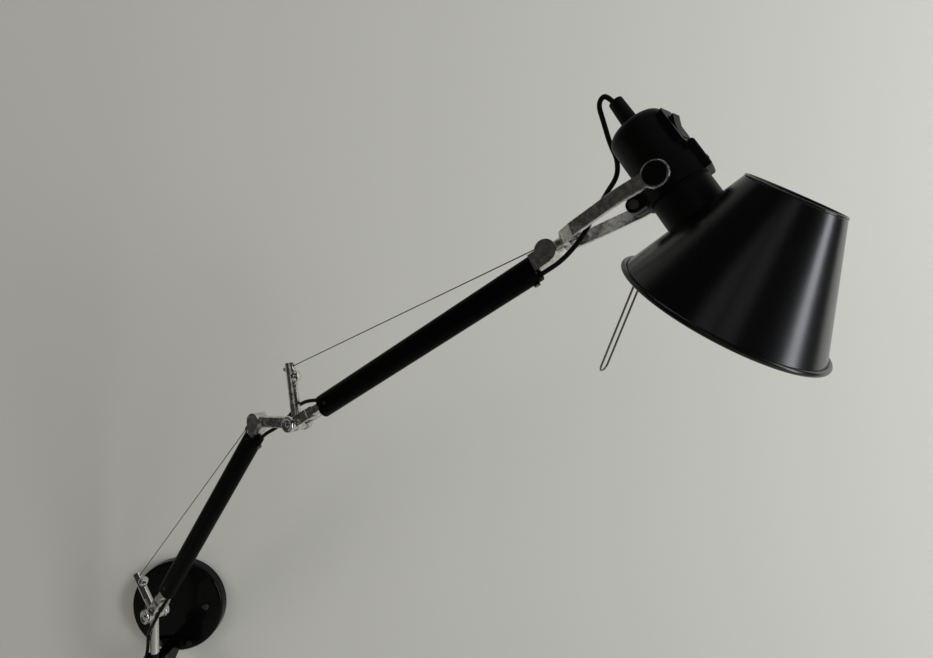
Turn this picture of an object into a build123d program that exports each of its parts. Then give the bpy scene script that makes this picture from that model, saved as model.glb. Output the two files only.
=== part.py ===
from build123d import *
import os
from math import acos, atan2, cos, degrees, hypot, pi, radians, sin, sqrt, tan

# Spring-balanced wall lamp with two arms. Millimetres. The wall is the plane y = 0 and the lamp
# stands out towards -Y. Origin: centre of the wall plate's back face. +Z is up.

# Wall plate and what is behind it
PLATE_D = 100.0
PLATE_H = 12.0
PLATE_WALL = 2.0
PLATE_EDGE_R = 3.0
STRIP_L = 84.0
STRIP_W = 16.0
STRIP_T = 2.0
WALL_HOLE_D = 5.0
WALL_HOLE_SPACING = 40.0
PLATE_SCREW_X = 32.0
PLATE_SCREW_D = 4.0
PLATE_SCREW_HEAD_D = 7.5
PLATE_SCREW_HEAD_H = 2.2
POST_D = 8.0
TERMINAL_L = 22.0
TERMINAL_W = 12.0
TERMINAL_H = 7.0

# Bracket and upright rod
ROD_Y = -56.0
ROD_D = 8.5
ROD_BOTTOM_Z = -64.0
SHOULDER_Z = 15.0
FOOT_W = 41.0
FOOT_TOP_Z = -34.0
FOOT_H = 8.0
FOOT_T = 4.0
FOOT_SCREW_X = 16.0
FOOT_SCREW_D = 3.5
FOOT_SCREW_HEAD_D = 6.0
FOOT_SCREW_HEAD_H = 1.8
BRACKET_ARM_W = 13.0
BOSS_D = 14.6
BOSS_TOP_Z = -34.5
BOSS_BOTTOM_Z = -60.0
BUSH_WALL = 1.2
COLLAR_D = 21.8
COLLAR_H = 5.5
CLIP_T = 1.0
CLIP_D = 12.0
CLIP_GROOVE_D = 7.4

# Arms
ARM_YAW = 30.0
LOWER_ANGLE = 52.4
UPPER_ANGLE = 28.7
ARM_REACH = 262.0
GUIDE_RISE = 5.0
TUBE_START = 34.0
CAP_REACH = 12.0
TUBE_END = ARM_REACH - CAP_REACH
TUBE_H = 18.8
TUBE_W = 12.5
TUBE_WALL = 1.5
LINK_RUN = 49.204
LINK_RISE = 2.37

# Pivots
KNUCKLE_W = 7.0
KNUCKLE_D = 13.0
FLAT_REACH = 17.0
SIDE_GAP = 0.2
PRONG_T = 3.2
PRONG_H = 9.0
PRONG_NOSE = 6.0
PRONG_LEN = 16.5
AXLE_D = 5.0
RUN_GAP = 0.05
KNOB_D = 14.0
KNOB_T = 4.6
KNOB_SEAT = 0.2
CLEVIS_SHANK = 9.0
PLUG_LEN = 12.0
PLUG_H = 6.2
ANCHOR_X = 42.0
ANCHOR_D = 3.0
ANCHOR_SLOT_W = 2.4

# Levers
LOWER_LEVER_ANGLE = 134.2
LOWER_LEVER_HOLE = 42.3
UPPER_LEVER_ANGLE = 99.8
UPPER_LEVER_HOLE = 47.8
LEVER_TIP = 3.7
LEVER_SCREW_DROP = 8.3
LEVER_SCREW_HEAD_D = 10.0
LEVER_SCREW_HEAD_H = 4.3
LEVER_SCREW_D = 4.0
CABLE_D = 0.9
CABLE_HOLE_D = 1.8
NIPPLE_D = 3.8

# End caps, guide wheels and springs
HEAD_D = 15.0
HEAD_W = 12.0
WHEEL_D = 11.0
WHEEL_W = 3.4
WHEEL_ROOT_D = 9.2
WHEEL_PIN_D = 3.0
WHEEL_POCKET_GAP = 0.3
CAP_FLANGE_T = 2.4
CAP_PLUG_LEN = 12.0
CAP_LOW_Z = -2.9
SPRING_D = 8.8
SPRING_Z = 1.0
SPRING_START = 76.0
SPRING_TANG_D = 1.6
SPRING_TANG_L = 8.0
CABLE_TRAVEL = 44.0
TANG_END = TUBE_END - CABLE_TRAVEL
SPRING_END = TANG_END - SPRING_TANG_L

# Elbow link
LINK_W = 8.0
LINK_H = 9.4
TENON_L = 7.0
TENON_W = 4.0
TENON_H = 5.0
LINK_PIN_D = 2.5

# Fork
FORK_ANGLE = 25.1
FORK_REACH = 80.0
FORK_T = 3.5
FORK_H = 8.5
FORK_HALF = 26.15
FORK_ROOT_HALF = 12.6
FORK_ROOT_X = 15.0
EYE_D = 15.8
NECK_D = 9.0
NECK_END = 11.5
HUB_D = 13.0
BOLT_D = 6.0
BOLT_THREAD_D = 4.5
BOLT_HEAD_D = 9.5
BOLT_HEAD_H = 3.0
WASHER_T = 0.7

# Head
HEAD_ANGLE = -57.6
HEAD_TURN = 13.0
AXIS_RISE = 4.8
HOUSING_D = 35.6
HOUSING_WALL = 2.0
HOUSING_TOP = -41.2
HOUSING_EDGE_R = 6.5
HOUSING_SHOULDER_X = 12.0
HOUSING_FRONT = 34.0
COLLAR_BACK = -5.0
COLLAR_FRONT = 9.0
COLLAR_WALL = 1.7
COLLAR_GAP = 0.1
SPIGOT_D = 11.0
PAD_BACK = -10.0
PAD_HALF = 10.0
PAD_RISE = 3.8
LUG_D = 10.0
LUG_X = 0.8
LUG_STAND = 6.5
LUG_DROP = HOUSING_D / 2 + LUG_STAND
LUG_HALF = 7.0
SLIT_W = 1.6
CLAMP_SCREW_D = 3.0
CLAMP_HEAD_D = 6.0
CLAMP_HEAD_SINK = 1.6
SET_SCREW_D = 2.6
SET_SCREW_X = 2.8
SET_SCREW_Y = -4.0
GLAND_BASE_D = 10.4
GLAND_END_D = 9.0
GLAND_LEN = 20.0
GLAND_FOOT = 1.0
CORD_D = 3.2
CORD_HOLE_D = 3.6
SWITCH_BACK = -35.0
SWITCH_FRONT = -10.3
SWITCH_HALF = 9.0
SWITCH_RISE = 1.5
ROCKER_X = -21.0
ROCKER_AXIS_DROP = 1.8
ROCKER_AXIS_RISE = HOUSING_D / 2 - ROCKER_AXIS_DROP
ROCKER_HALF = 5.6
ROCKER_PIN_D = 2.0
POCKET_BACK = -30.2
POCKET_FRONT = -12.0
POCKET_HALF = 6.0
POCKET_DEPTH = 5.8
POCKET_FLOOR = HOUSING_D / 2 - POCKET_DEPTH
SWITCH_FOOT = 9.8
POCKET_WALL = 0.6

# Lamp holder, bulb and shade
HOLDER_D = 24.6
HOLDER_BACK = -6.0
HOLDER_FRONT = 42.0
HOLDER_WALL = 2.0
FLANGE_T = 3.0
BULB_D = 45.0
BULB_LEN = 78.0
BULB_CAP_D = 14.0
BULB_CAP_LEN = 20.0
BULB_NECK_D = 20.0
BULB_BACK = 25.0
SHADE_TOP_D = 53.6
SHADE_BOTTOM_D = 118.2
SHADE_H = 68.4
SHADE_T = 1.2
SHADE_SLANT = 65.1
SHADE_X = 49.2
SHADE_Z = 43.1
RIM_D = 3.2
TOP_RIM_D = 2.0
SHADE_HOLE_D = 25.4
RING_D = 34.0
RING_T = 4.0
RING_SAG = 3.4
HANDLE_WIRE_D = 1.4
HANDLE_GAP = 9.0
HANDLE_ROOT_STAND = 4.1
HANDLE_ROOT_Z = -13.2
HANDLE_KNEE_STAND = 4.6
HANDLE_KNEE_Z = -38.0
HANDLE_TIP_X = 70.5
HANDLE_TIP_Z = -104.0


def block(x0, x1, y0, y1, z0, z1):
    centre = ((x0 + x1) / 2, (y0 + y1) / 2, (z0 + z1) / 2)
    return Location(centre) * Box(abs(x1 - x0), abs(y1 - y0), abs(z1 - z0))


def rod(diameter, start, end):
    start = Vector(*start)
    end = Vector(*end)
    place = Plane(origin=start, z_dir=end - start).location
    return place * Cylinder(diameter / 2, (end - start).length, align=(Align.CENTER, Align.CENTER, Align.MIN))


def taper(d0, d1, start, end):
    start = Vector(*start)
    end = Vector(*end)
    place = Plane(origin=start, z_dir=end - start).location
    return place * Cone(d0 / 2, d1 / 2, (end - start).length, align=(Align.CENTER, Align.CENTER, Align.MIN))


def across(diameter, x, z, y0, y1):
    return rod(diameter, (x, y0, z), (x, y1, z))


def ball(diameter, at):
    return Location(at) * Sphere(diameter / 2)


def tilted(u, z, angle):
    return SWING * Location((u, 0, z), (0, -angle, 0))


def to_world(frame, *points):
    return [tuple((frame * Location(p)).position) for p in points]


def polar(length, angle):
    return (length * cos(radians(angle)), length * sin(radians(angle)))


def stadium(width, height, x0, x1):
    outline = Plane(origin=(x0, 0, 0), x_dir=(0, 0, 1), z_dir=(1, 0, 0)) * SlotOverall(height, width)
    return extrude(outline, x1 - x0)


def revolve_z(points):
    face = make_face(Polyline(*[(r, 0, z) for r, z in points], close=True))
    return revolve(face, Axis.Z)


def route(points, reach=0.45):
    here = Vector(*points[0][:3])
    edges = []
    least = 1e9
    for before, corner, after in zip(points, points[1:], points[2:]):
        middle = Vector(*corner[:3])
        first = middle - Vector(*before[:3])
        second = Vector(*after[:3]) - middle
        share = corner[3] if len(corner) > 3 else reach
        cut = share * min(first.length, second.length)
        turn = radians(first.get_angle(second))
        least = min(least, cut / tan(turn / 2))
        start = middle - first.normalized() * cut
        end = middle + second.normalized() * cut
        edges.append(Line(here, start))
        edges.append(TangentArc(start, end, tangent=first.normalized()))
        here = end
    edges.append(Line(here, Vector(*points[-1][:3])))
    return Wire(edges), least


def lead(name, points):
    path, least = route(points)
    section = Plane(origin=path @ 0, z_dir=path % 0) * Circle(CORD_D / 2)
    solid = sweep(section, path)
    share = solid.volume / (pi * CORD_D**2 / 4 * path.length)
    print(name, "length %.1f least radius %.1f volume share %.4f" % (path.length, least, share))
    return solid


parts = {}


def keep(name, frame, *solids):
    parts[name] = [frame * solid for solid in solids]


SWING = Location((0, ROD_Y, 0), (0, 0, -ARM_YAW))
HOME = Location((0, 0, 0))
LOWER_GUIDE = (
    polar(ARM_REACH, LOWER_ANGLE)[0] - GUIDE_RISE * sin(radians(LOWER_ANGLE)),
    SHOULDER_Z + polar(ARM_REACH, LOWER_ANGLE)[1] + GUIDE_RISE * cos(radians(LOWER_ANGLE)),
)
ELBOW = (LOWER_GUIDE[0] + LINK_RUN, LOWER_GUIDE[1] + LINK_RISE)
GUIDE2 = (
    ELBOW[0] + polar(ARM_REACH, UPPER_ANGLE)[0] - GUIDE_RISE * sin(radians(UPPER_ANGLE)),
    ELBOW[1] + polar(ARM_REACH, UPPER_ANGLE)[1] + GUIDE_RISE * cos(radians(UPPER_ANGLE)),
)
TILT = (GUIDE2[0] + polar(FORK_REACH, FORK_ANGLE)[0], GUIDE2[1] + polar(FORK_REACH, FORK_ANGLE)[1])
ARM1 = tilted(0, SHOULDER_Z, LOWER_ANGLE)
ARM2 = tilted(ELBOW[0], ELBOW[1], UPPER_ANGLE)
FORK = tilted(GUIDE2[0], GUIDE2[1], FORK_ANGLE)
HEAD = tilted(TILT[0], TILT[1], HEAD_ANGLE)
HOUSE = HEAD * Location((0, 0, AXIS_RISE), (HEAD_TURN, 0, 0))

# Wall plate: a shallow cup, open at the back
plate_front = -PLATE_H
plate = rod(PLATE_D, (0, 0, 0), (0, plate_front, 0))
front_edge = plate.edges().group_by(Axis.Y)[0]
plate = fillet(front_edge, PLATE_EDGE_R)
plate -= rod(PLATE_D - 2 * PLATE_WALL, (0, 0, 0), (0, plate_front + PLATE_WALL, 0))
foot_z = FOOT_TOP_Z - FOOT_H / 2
cord_hole = (-8.6, -6.0, foot_z)
for side in (-1, 1):
    plate -= rod(PLATE_SCREW_D, (side * PLATE_SCREW_X, 0, 0), (side * PLATE_SCREW_X, -20, 0))
    plate -= rod(FOOT_SCREW_D, (side * FOOT_SCREW_X, 0, foot_z), (side * FOOT_SCREW_X, -20, foot_z))
plate -= rod(CORD_HOLE_D, (cord_hole[0], 0, foot_z), (cord_hole[0], -20, foot_z))
keep("wall_plate", HOME, plate)

# Mounting strip with two threaded posts
strip = block(-STRIP_L / 2, STRIP_L / 2, -STRIP_T, 0, -STRIP_W / 2, STRIP_W / 2)
for side in (-1, 1):
    strip += rod(POST_D, (side * PLATE_SCREW_X, -STRIP_T, 0), (side * PLATE_SCREW_X, plate_front + PLATE_WALL, 0))
for side in (-1, 1):
    strip -= rod(PLATE_SCREW_D, (side * PLATE_SCREW_X, 0, 0), (side * PLATE_SCREW_X, -20, 0))
    hole_x = side * WALL_HOLE_SPACING / 2
    strip -= rod(WALL_HOLE_D, (hole_x, 1, 0), (hole_x, -5, 0))
keep("mounting_strip", HOME, strip)

screws = []
for side in (-1, 1):
    x = side * PLATE_SCREW_X
    screw = rod(PLATE_SCREW_D, (x, -1, 0), (x, plate_front, 0))
    screw += rod(PLATE_SCREW_HEAD_D, (x, plate_front, 0), (x, plate_front - PLATE_SCREW_HEAD_H, 0))
    screws.append(fillet(screw.edges().group_by(Axis.Y)[0], PLATE_SCREW_HEAD_H * 0.6))
keep("plate_screws", HOME, *screws)

terminal_front = -STRIP_T - TERMINAL_H
terminal = block(-TERMINAL_L / 2, TERMINAL_L / 2, terminal_front, -STRIP_T, -TERMINAL_W / 2, TERMINAL_W / 2)
terminal_y = -STRIP_T - TERMINAL_H / 2
for x in (-7, 0, 7):
    terminal -= rod(CORD_HOLE_D, (x, terminal_y, -20), (x, terminal_y, 20))
keep("terminal_block", HOME, terminal)

# Bracket: foot on the plate, arm, and the boss that holds the upright rod
foot_back = plate_front
foot_front = plate_front - FOOT_T
foot_bottom = FOOT_TOP_Z - FOOT_H
bracket = block(-FOOT_W / 2, FOOT_W / 2, foot_front, foot_back, foot_bottom, FOOT_TOP_Z)
side_view = Polyline(
    (0, foot_front, BOSS_TOP_Z),
    (0, ROD_Y, BOSS_TOP_Z),
    (0, ROD_Y, BOSS_BOTTOM_Z + 4),
    (0, ROD_Y + 16, BOSS_BOTTOM_Z + 4),
    (0, foot_front, foot_bottom),
    close=True,
)
bracket += extrude(make_face(side_view), BRACKET_ARM_W / 2, dir=(1, 0, 0), both=True)
bracket += rod(BOSS_D, (0, ROD_Y, BOSS_BOTTOM_Z), (0, ROD_Y, BOSS_TOP_Z))
bush_d = ROD_D + 2 * RUN_GAP + 2 * BUSH_WALL
bracket -= rod(bush_d, (0, ROD_Y, BOSS_BOTTOM_Z - 1), (0, ROD_Y, BOSS_TOP_Z + 1))
for side in (-1, 1):
    x = side * FOOT_SCREW_X
    bracket -= rod(FOOT_SCREW_D, (x, 0, foot_z), (x, -30, foot_z))
bracket -= rod(CORD_HOLE_D, (cord_hole[0], 0, foot_z), (cord_hole[0], foot_front - 1, foot_z))
keep("bracket", HOME, bracket)

foot_screws = []
for side in (-1, 1):
    x = side * FOOT_SCREW_X
    screw = rod(FOOT_SCREW_D, (x, plate_front + PLATE_WALL, foot_z), (x, foot_front, foot_z))
    screw += rod(FOOT_SCREW_HEAD_D, (x, foot_front, foot_z), (x, foot_front - FOOT_SCREW_HEAD_H, foot_z))
    foot_screws.append(screw)
keep("bracket_screws", HOME, *foot_screws)

bush = rod(bush_d, (0, ROD_Y, BOSS_BOTTOM_Z), (0, ROD_Y, BOSS_TOP_Z))
bush -= rod(ROD_D + 2 * RUN_GAP, (0, ROD_Y, BOSS_BOTTOM_Z), (0, ROD_Y, BOSS_TOP_Z))
keep("rod_bush", HOME, bush)


def lever(frame_u, frame_z, angle, hole, solid):
    """Adds a lever to solid, in the swing frame: flat near the pivot, with its holes."""
    top = hole + LEVER_TIP
    tip = polar(top, angle)
    solid += rod(ROD_D, (frame_u, 0, frame_z), (frame_u + tip[0], 0, frame_z + tip[1]))
    return solid


def knuckle(u, z, solid, angle, hole):
    """Flattens solid near the pivot at (u, z) and cuts the pivot, cable and screw holes."""
    near = across(2 * FLAT_REACH, u, z, -20, 20)
    for side in (-1, 1):
        cheek = block(u - 40, u + 40, side * KNUCKLE_W / 2, side * 20, z - 40, z + 40)
        solid -= near & cheek
    solid += across(KNUCKLE_D, u, z, -KNUCKLE_W / 2, KNUCKLE_W / 2)
    solid -= across(AXLE_D + 2 * RUN_GAP, u, z, -20, 20)
    along = polar(1, angle)
    side_way = (along[1], -along[0])
    at = (u + along[0] * hole, z + along[1] * hole)
    pull = polar(1, CABLE_ANGLE[angle])
    solid -= rod(
        CABLE_HOLE_D,
        (at[0] - 9 * pull[0], 0, at[1] - 9 * pull[1]),
        (at[0] + 9 * pull[0], 0, at[1] + 9 * pull[1]),
    )
    low = hole - LEVER_SCREW_DROP
    base = (u + along[0] * low, z + along[1] * low)
    solid -= rod(
        LEVER_SCREW_D,
        (base[0], 0, base[1]),
        (base[0] + 9 * side_way[0], 0, base[1] + 9 * side_way[1]),
    )
    return solid


def lever_screw(u, z, angle, hole):
    along = polar(1, angle)
    side_way = (along[1], -along[0])
    low = hole - LEVER_SCREW_DROP
    base = (u + along[0] * low, z + along[1] * low)
    seat = ROD_D / 2
    shank = rod(
        LEVER_SCREW_D,
        (base[0], 0, base[1]),
        (base[0] + (seat + 1) * side_way[0], 0, base[1] + (seat + 1) * side_way[1]),
    )
    start = (base[0] + seat * side_way[0], 0, base[1] + seat * side_way[1])
    end_at = seat + LEVER_SCREW_HEAD_H
    end = (base[0] + end_at * side_way[0], 0, base[1] + end_at * side_way[1])
    head = rod(LEVER_SCREW_HEAD_D, start, end)
    outer = head.edges().sort_by_distance(Vector(*end) + Vector(side_way[0], 0, side_way[1]) * 20)[0]
    return shank + fillet(outer, LEVER_SCREW_HEAD_H * 0.8)


def cable_line(lever_point):
    """Arm frame: angle of the cable and its tangent point on the guide wheel's groove."""
    radius = (WHEEL_ROOT_D + CABLE_D) / 2 + 0.02
    dx = ARM_REACH - lever_point[0]
    dz = GUIDE_RISE - lever_point[1]
    far = hypot(dx, dz)
    angle = degrees(atan2(dz, dx)) + degrees(acos(sqrt(far**2 - radius**2) / far))
    touch = (ARM_REACH - radius * sin(radians(angle)), GUIDE_RISE + radius * cos(radians(angle)))
    return angle, touch, radius


LOWER_POINT = polar(LOWER_LEVER_HOLE, LOWER_LEVER_ANGLE - LOWER_ANGLE)
UPPER_POINT = polar(UPPER_LEVER_HOLE, UPPER_LEVER_ANGLE - UPPER_ANGLE)
CABLE_ANGLE = {
    LOWER_LEVER_ANGLE: cable_line(LOWER_POINT)[0] + LOWER_ANGLE,
    UPPER_LEVER_ANGLE: cable_line(UPPER_POINT)[0] + UPPER_ANGLE,
}

# Upright rod, bent over into the lower lever
stem = rod(ROD_D, (0, 0, ROD_BOTTOM_Z), (0, 0, SHOULDER_Z))
stem = lever(0, SHOULDER_Z, LOWER_LEVER_ANGLE, LOWER_LEVER_HOLE, stem)
stem = knuckle(0, SHOULDER_Z, stem, LOWER_LEVER_ANGLE, LOWER_LEVER_HOLE)
groove_top = BOSS_BOTTOM_Z
groove = rod(ROD_D + 2, (0, 0, groove_top - CLIP_T), (0, 0, groove_top))
groove -= rod(CLIP_GROOVE_D, (0, 0, groove_top - CLIP_T), (0, 0, groove_top))
stem -= groove
keep("stem_rod", SWING, stem)
keep("stem_lever_screw", SWING, lever_screw(0, SHOULDER_Z, LOWER_LEVER_ANGLE, LOWER_LEVER_HOLE))

clip = rod(CLIP_D, (0, 0, groove_top - CLIP_T), (0, 0, groove_top))
clip -= rod(CLIP_GROOVE_D, (0, 0, groove_top - CLIP_T), (0, 0, groove_top))
keep("rod_clip", SWING, clip - block(0, 10, -1.5, 1.5, groove_top - 5, groove_top + 5))

# Stop collar on the rod, notched for the cord
collar = rod(COLLAR_D, (0, 0, BOSS_TOP_Z), (0, 0, BOSS_TOP_Z + COLLAR_H))
collar = chamfer(collar.edges().group_by(Axis.Z)[-1], 0.8)
collar -= rod(ROD_D, (0, 0, BOSS_TOP_Z - 1), (0, 0, BOSS_TOP_Z + COLLAR_H + 1))
cord_side = degrees(atan2(-5.16, -3.14))
notch = Location((0, 0, 0), (0, 0, cord_side)) * block(5.6, 20, -2.1, 2.1, BOSS_TOP_Z - 1, BOSS_TOP_Z + 20)
keep("stem_collar", SWING, collar - notch)

prong_in = KNUCKLE_W / 2 + SIDE_GAP
prong_out = prong_in + PRONG_T
knob_in = prong_out + KNOB_SEAT
knob_out = knob_in + KNOB_T
inner_half_w = TUBE_W / 2 - TUBE_WALL


def pivot(prefix, frame):
    """Clevis, axle and knobs of the near end of an arm."""
    shank_start = TUBE_START - CLEVIS_SHANK
    clevis = block(0, shank_start, -TUBE_W / 2, TUBE_W / 2, -PRONG_H / 2, PRONG_H / 2)
    clevis += block(shank_start - 1, TUBE_START, -TUBE_W / 2, TUBE_W / 2, -PLUG_H / 2, PLUG_H / 2)
    clevis += across(2 * PRONG_NOSE, 0, 0, -prong_out, prong_out)
    clevis += block(0, PRONG_LEN + 3, -prong_out, prong_out, -PRONG_H / 2, PRONG_H / 2)
    clevis -= block(-20, PRONG_LEN, -prong_in, prong_in, -20, 20)
    plug_end = TUBE_START + PLUG_LEN
    clevis += block(TUBE_START, plug_end, -inner_half_w, inner_half_w, -PLUG_H / 2, PLUG_H / 2)
    slot = ANCHOR_SLOT_W / 2
    clevis -= block(ANCHOR_X - 4, plug_end + 1, -slot, slot, -PLUG_H, PLUG_H)
    clevis -= across(ANCHOR_D, ANCHOR_X, 0, -20, 20)
    clevis -= across(AXLE_D, 0, 0, -20, 20)
    keep(prefix + "_clevis", frame, clevis)
    keep(prefix + "_axle", frame, across(AXLE_D, 0, 0, -knob_out + 0.8, knob_out - 0.8))
    knobs = []
    for side in (-1, 1):
        knob = across(KNOB_D, 0, 0, side * knob_in, side * knob_out)
        rims = knob.edges().filter_by(GeomType.CIRCLE)
        knob = chamfer(rims, 0.7)
        knob -= across(KNOB_D - 5, 0, 0, side * (knob_out - 0.8), side * (knob_out + 1))
        knob += across(AXLE_D + 1.6, 0, 0, side * prong_out, side * knob_in)
        knob -= across(AXLE_D, 0, 0, -30, 30)
        knobs.append(knob)
    keep(prefix + "_pivot_knobs", frame, *knobs)


def balance(prefix, frame, lever_point):
    """Arm tube with its spring, anchor pin, guide wheel and cable."""
    tube = stadium(TUBE_W, TUBE_H, TUBE_START, TUBE_END)
    tube -= stadium(TUBE_W - 2 * TUBE_WALL, TUBE_H - 2 * TUBE_WALL, TUBE_START - 1, TUBE_END + 1)
    tube -= across(ANCHOR_D, ANCHOR_X, 0, -20, 20)
    tube -= rod(CAP_SCREW_D, (CAP_SCREW_X, 0, -20), (CAP_SCREW_X, 0, -TUBE_H / 2 + 2))
    keep(prefix + "_tube", frame, tube)
    keep(prefix + "_spring_anchor", frame, across(ANCHOR_D, ANCHOR_X, 0, -TUBE_W / 2, TUBE_W / 2))
    return_z = GUIDE_RISE - cable_line(lever_point)[2]
    spring = rod(SPRING_D, (SPRING_START, 0, SPRING_Z), (SPRING_END, 0, SPRING_Z))
    spring = chamfer(spring.edges().filter_by(GeomType.CIRCLE), 1.5)
    spring += rod(SPRING_TANG_D, (ANCHOR_X + 1.8, 0, 0), (SPRING_START + 1, 0, 0))
    spring += across(ANCHOR_D + 2.6, ANCHOR_X, 0, -SPRING_TANG_D / 2, SPRING_TANG_D / 2)
    spring += rod(SPRING_TANG_D, (SPRING_END - 1, 0, return_z), (TANG_END, 0, return_z))
    spring -= across(ANCHOR_D, ANCHOR_X, 0, -20, 20)
    keep(prefix + "_spring", frame, spring)
    angle, touch, radius = cable_line(lever_point)
    way = polar(1, angle)
    back = (lever_point[0] - 6.5 * way[0], lever_point[1] - 6.5 * way[1])
    run = Line((back[0], 0, back[1]), (touch[0], 0, touch[1]))
    far = (ARM_REACH + radius, 0, GUIDE_RISE)
    wrap = ThreePointArc((touch[0], 0, touch[1]), far, (ARM_REACH, 0, return_z))
    home = Line((ARM_REACH, 0, return_z), (TANG_END, 0, return_z))
    path = Wire([run, wrap, home])
    section = Plane(origin=path @ 0, z_dir=path % 0) * Circle(CABLE_D / 2)
    cable = sweep(section, path)
    cable += ball(NIPPLE_D, (back[0], 0, back[1]))
    keep(prefix + "_cable", frame, cable)
    wheel = across(WHEEL_D, ARM_REACH, GUIDE_RISE, -WHEEL_W / 2, WHEEL_W / 2)
    gap = CABLE_D / 2 + 0.25
    rim_d = WHEEL_D + 2
    ring = across(rim_d, ARM_REACH, GUIDE_RISE, -gap, gap)
    ring -= across(WHEEL_ROOT_D, ARM_REACH, GUIDE_RISE, -gap, gap)
    wheel -= ring
    wheel -= across(WHEEL_PIN_D + 2 * RUN_GAP, ARM_REACH, GUIDE_RISE, -20, 20)
    keep(prefix + "_guide_wheel", frame, wheel)
    keep(prefix + "_wheel_pin", frame, across(WHEEL_PIN_D, ARM_REACH, GUIDE_RISE, -HEAD_W / 2, HEAD_W / 2))


CAP_SCREW_X = TUBE_END - 5.0
CAP_SCREW_D = 2.5


def end_cap(cable_angle, return_z):
    """End cap in its arm's frame: plug, flange and the round head with the wheel's pocket."""
    inner = stadium(TUBE_W - 2 * TUBE_WALL, TUBE_H - 2 * TUBE_WALL, TUBE_END - CAP_PLUG_LEN, TUBE_END)
    outer = stadium(TUBE_W, TUBE_H, TUBE_END, TUBE_END + CAP_FLANGE_T)
    cap = (inner + outer) & block(0, 400, -20, 20, CAP_LOW_Z, 20)
    cap += across(HEAD_D, ARM_REACH, GUIDE_RISE, -HEAD_W / 2, HEAD_W / 2)
    cap += block(TUBE_END, ARM_REACH, -HEAD_W / 2, HEAD_W / 2, CAP_LOW_Z, GUIDE_RISE + HEAD_D / 4)
    half = WHEEL_W / 2 + WHEEL_POCKET_GAP
    cap -= across(WHEEL_D + 2 * WHEEL_POCKET_GAP, ARM_REACH, GUIDE_RISE, -half, half)
    cap -= across(WHEEL_PIN_D, ARM_REACH, GUIDE_RISE, -20, 20)
    opening = Location((ARM_REACH, 0, GUIDE_RISE), (0, -cable_angle, 0))
    cap -= opening * block(-14, 0, -half, half, 2, 12)
    cap -= rod(CABLE_HOLE_D, (0, 0, return_z), (ARM_REACH, 0, return_z))
    return cap


pivot("lower", ARM1)
balance("lower", ARM1, LOWER_POINT)
pivot("upper", ARM2)
balance("upper", ARM2, UPPER_POINT)

# Lower end cap with a tenon towards the elbow, and the elbow link with the upper lever
angle1, _, radius1 = cable_line(LOWER_POINT)
lower_cap = ARM1 * end_cap(angle1, GUIDE_RISE - radius1)
link_angle = degrees(atan2(LINK_RISE, LINK_RUN))
link_len = hypot(LINK_RISE, LINK_RUN)
LINK = tilted(LOWER_GUIDE[0], LOWER_GUIDE[1], link_angle)
tenon_start = HEAD_D / 2 - 1.0
tenon_end = HEAD_D / 2 + TENON_L
tenon = block(tenon_start, tenon_end, -TENON_W / 2, TENON_W / 2, -TENON_H / 2, TENON_H / 2)
pin_x = HEAD_D / 2 + TENON_L / 2
tenon -= across(LINK_PIN_D, pin_x, 0, -20, 20)
keep("lower_end_cap", HOME, lower_cap + LINK * tenon)
link = block(HEAD_D / 2 - 3, link_len, -LINK_W / 2, LINK_W / 2, -LINK_H / 2, LINK_H / 2)
link = fillet(link.edges().filter_by(Axis.X), 1.2)
link -= across(HEAD_D, 0, 0, -20, 20)
link -= block(0, tenon_end, -TENON_W / 2, TENON_W / 2, -TENON_H / 2, TENON_H / 2)
for side in (-1, 1):
    link -= block(15.5, link_len - 12, side * 2.2, side * 20, -2.4, 1.4)
link -= across(LINK_PIN_D, pin_x, 0, -20, 20)
link_in_swing = Location((LOWER_GUIDE[0], 0, LOWER_GUIDE[1]), (0, -link_angle, 0)) * link
link_in_swing = lever(ELBOW[0], ELBOW[1], UPPER_LEVER_ANGLE, UPPER_LEVER_HOLE, link_in_swing)
link_in_swing = knuckle(ELBOW[0], ELBOW[1], link_in_swing, UPPER_LEVER_ANGLE, UPPER_LEVER_HOLE)
keep("elbow_link", SWING, link_in_swing)
keep("elbow_link_pin", LINK, across(LINK_PIN_D, pin_x, 0, -LINK_W / 2, LINK_W / 2))
keep("elbow_lever_screw", SWING, lever_screw(ELBOW[0], ELBOW[1], UPPER_LEVER_ANGLE, UPPER_LEVER_HOLE))

# Upper end cap with the neck that carries the fork
angle2, _, radius2 = cable_line(UPPER_POINT)
upper_cap = ARM2 * end_cap(angle2, GUIDE_RISE - radius2)
neck = rod(NECK_D, (HEAD_D / 2 - 1.2, 0, 0), (NECK_END, 0, 0))
thread_start = WHEEL_D / 2 + WHEEL_POCKET_GAP + 0.5
upper_cap = upper_cap + FORK * neck - FORK * rod(BOLT_THREAD_D, (thread_start, 0, 0), (NECK_END + 1, 0, 0))
keep("upper_end_cap", HOME, upper_cap)
for prefix, frame in (("lower", ARM1), ("upper", ARM2)):
    screw = rod(CAP_SCREW_D, (CAP_SCREW_X, 0, -TUBE_H / 2 - 0.4), (CAP_SCREW_X, 0, -TUBE_H / 2 + TUBE_WALL))
    screw += rod(CAP_SCREW_D + 2, (CAP_SCREW_X, 0, -TUBE_H / 2 - 1.6), (CAP_SCREW_X, 0, -TUBE_H / 2 - 0.2))
    keep(prefix + "_cap_screw", frame, screw)

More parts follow.
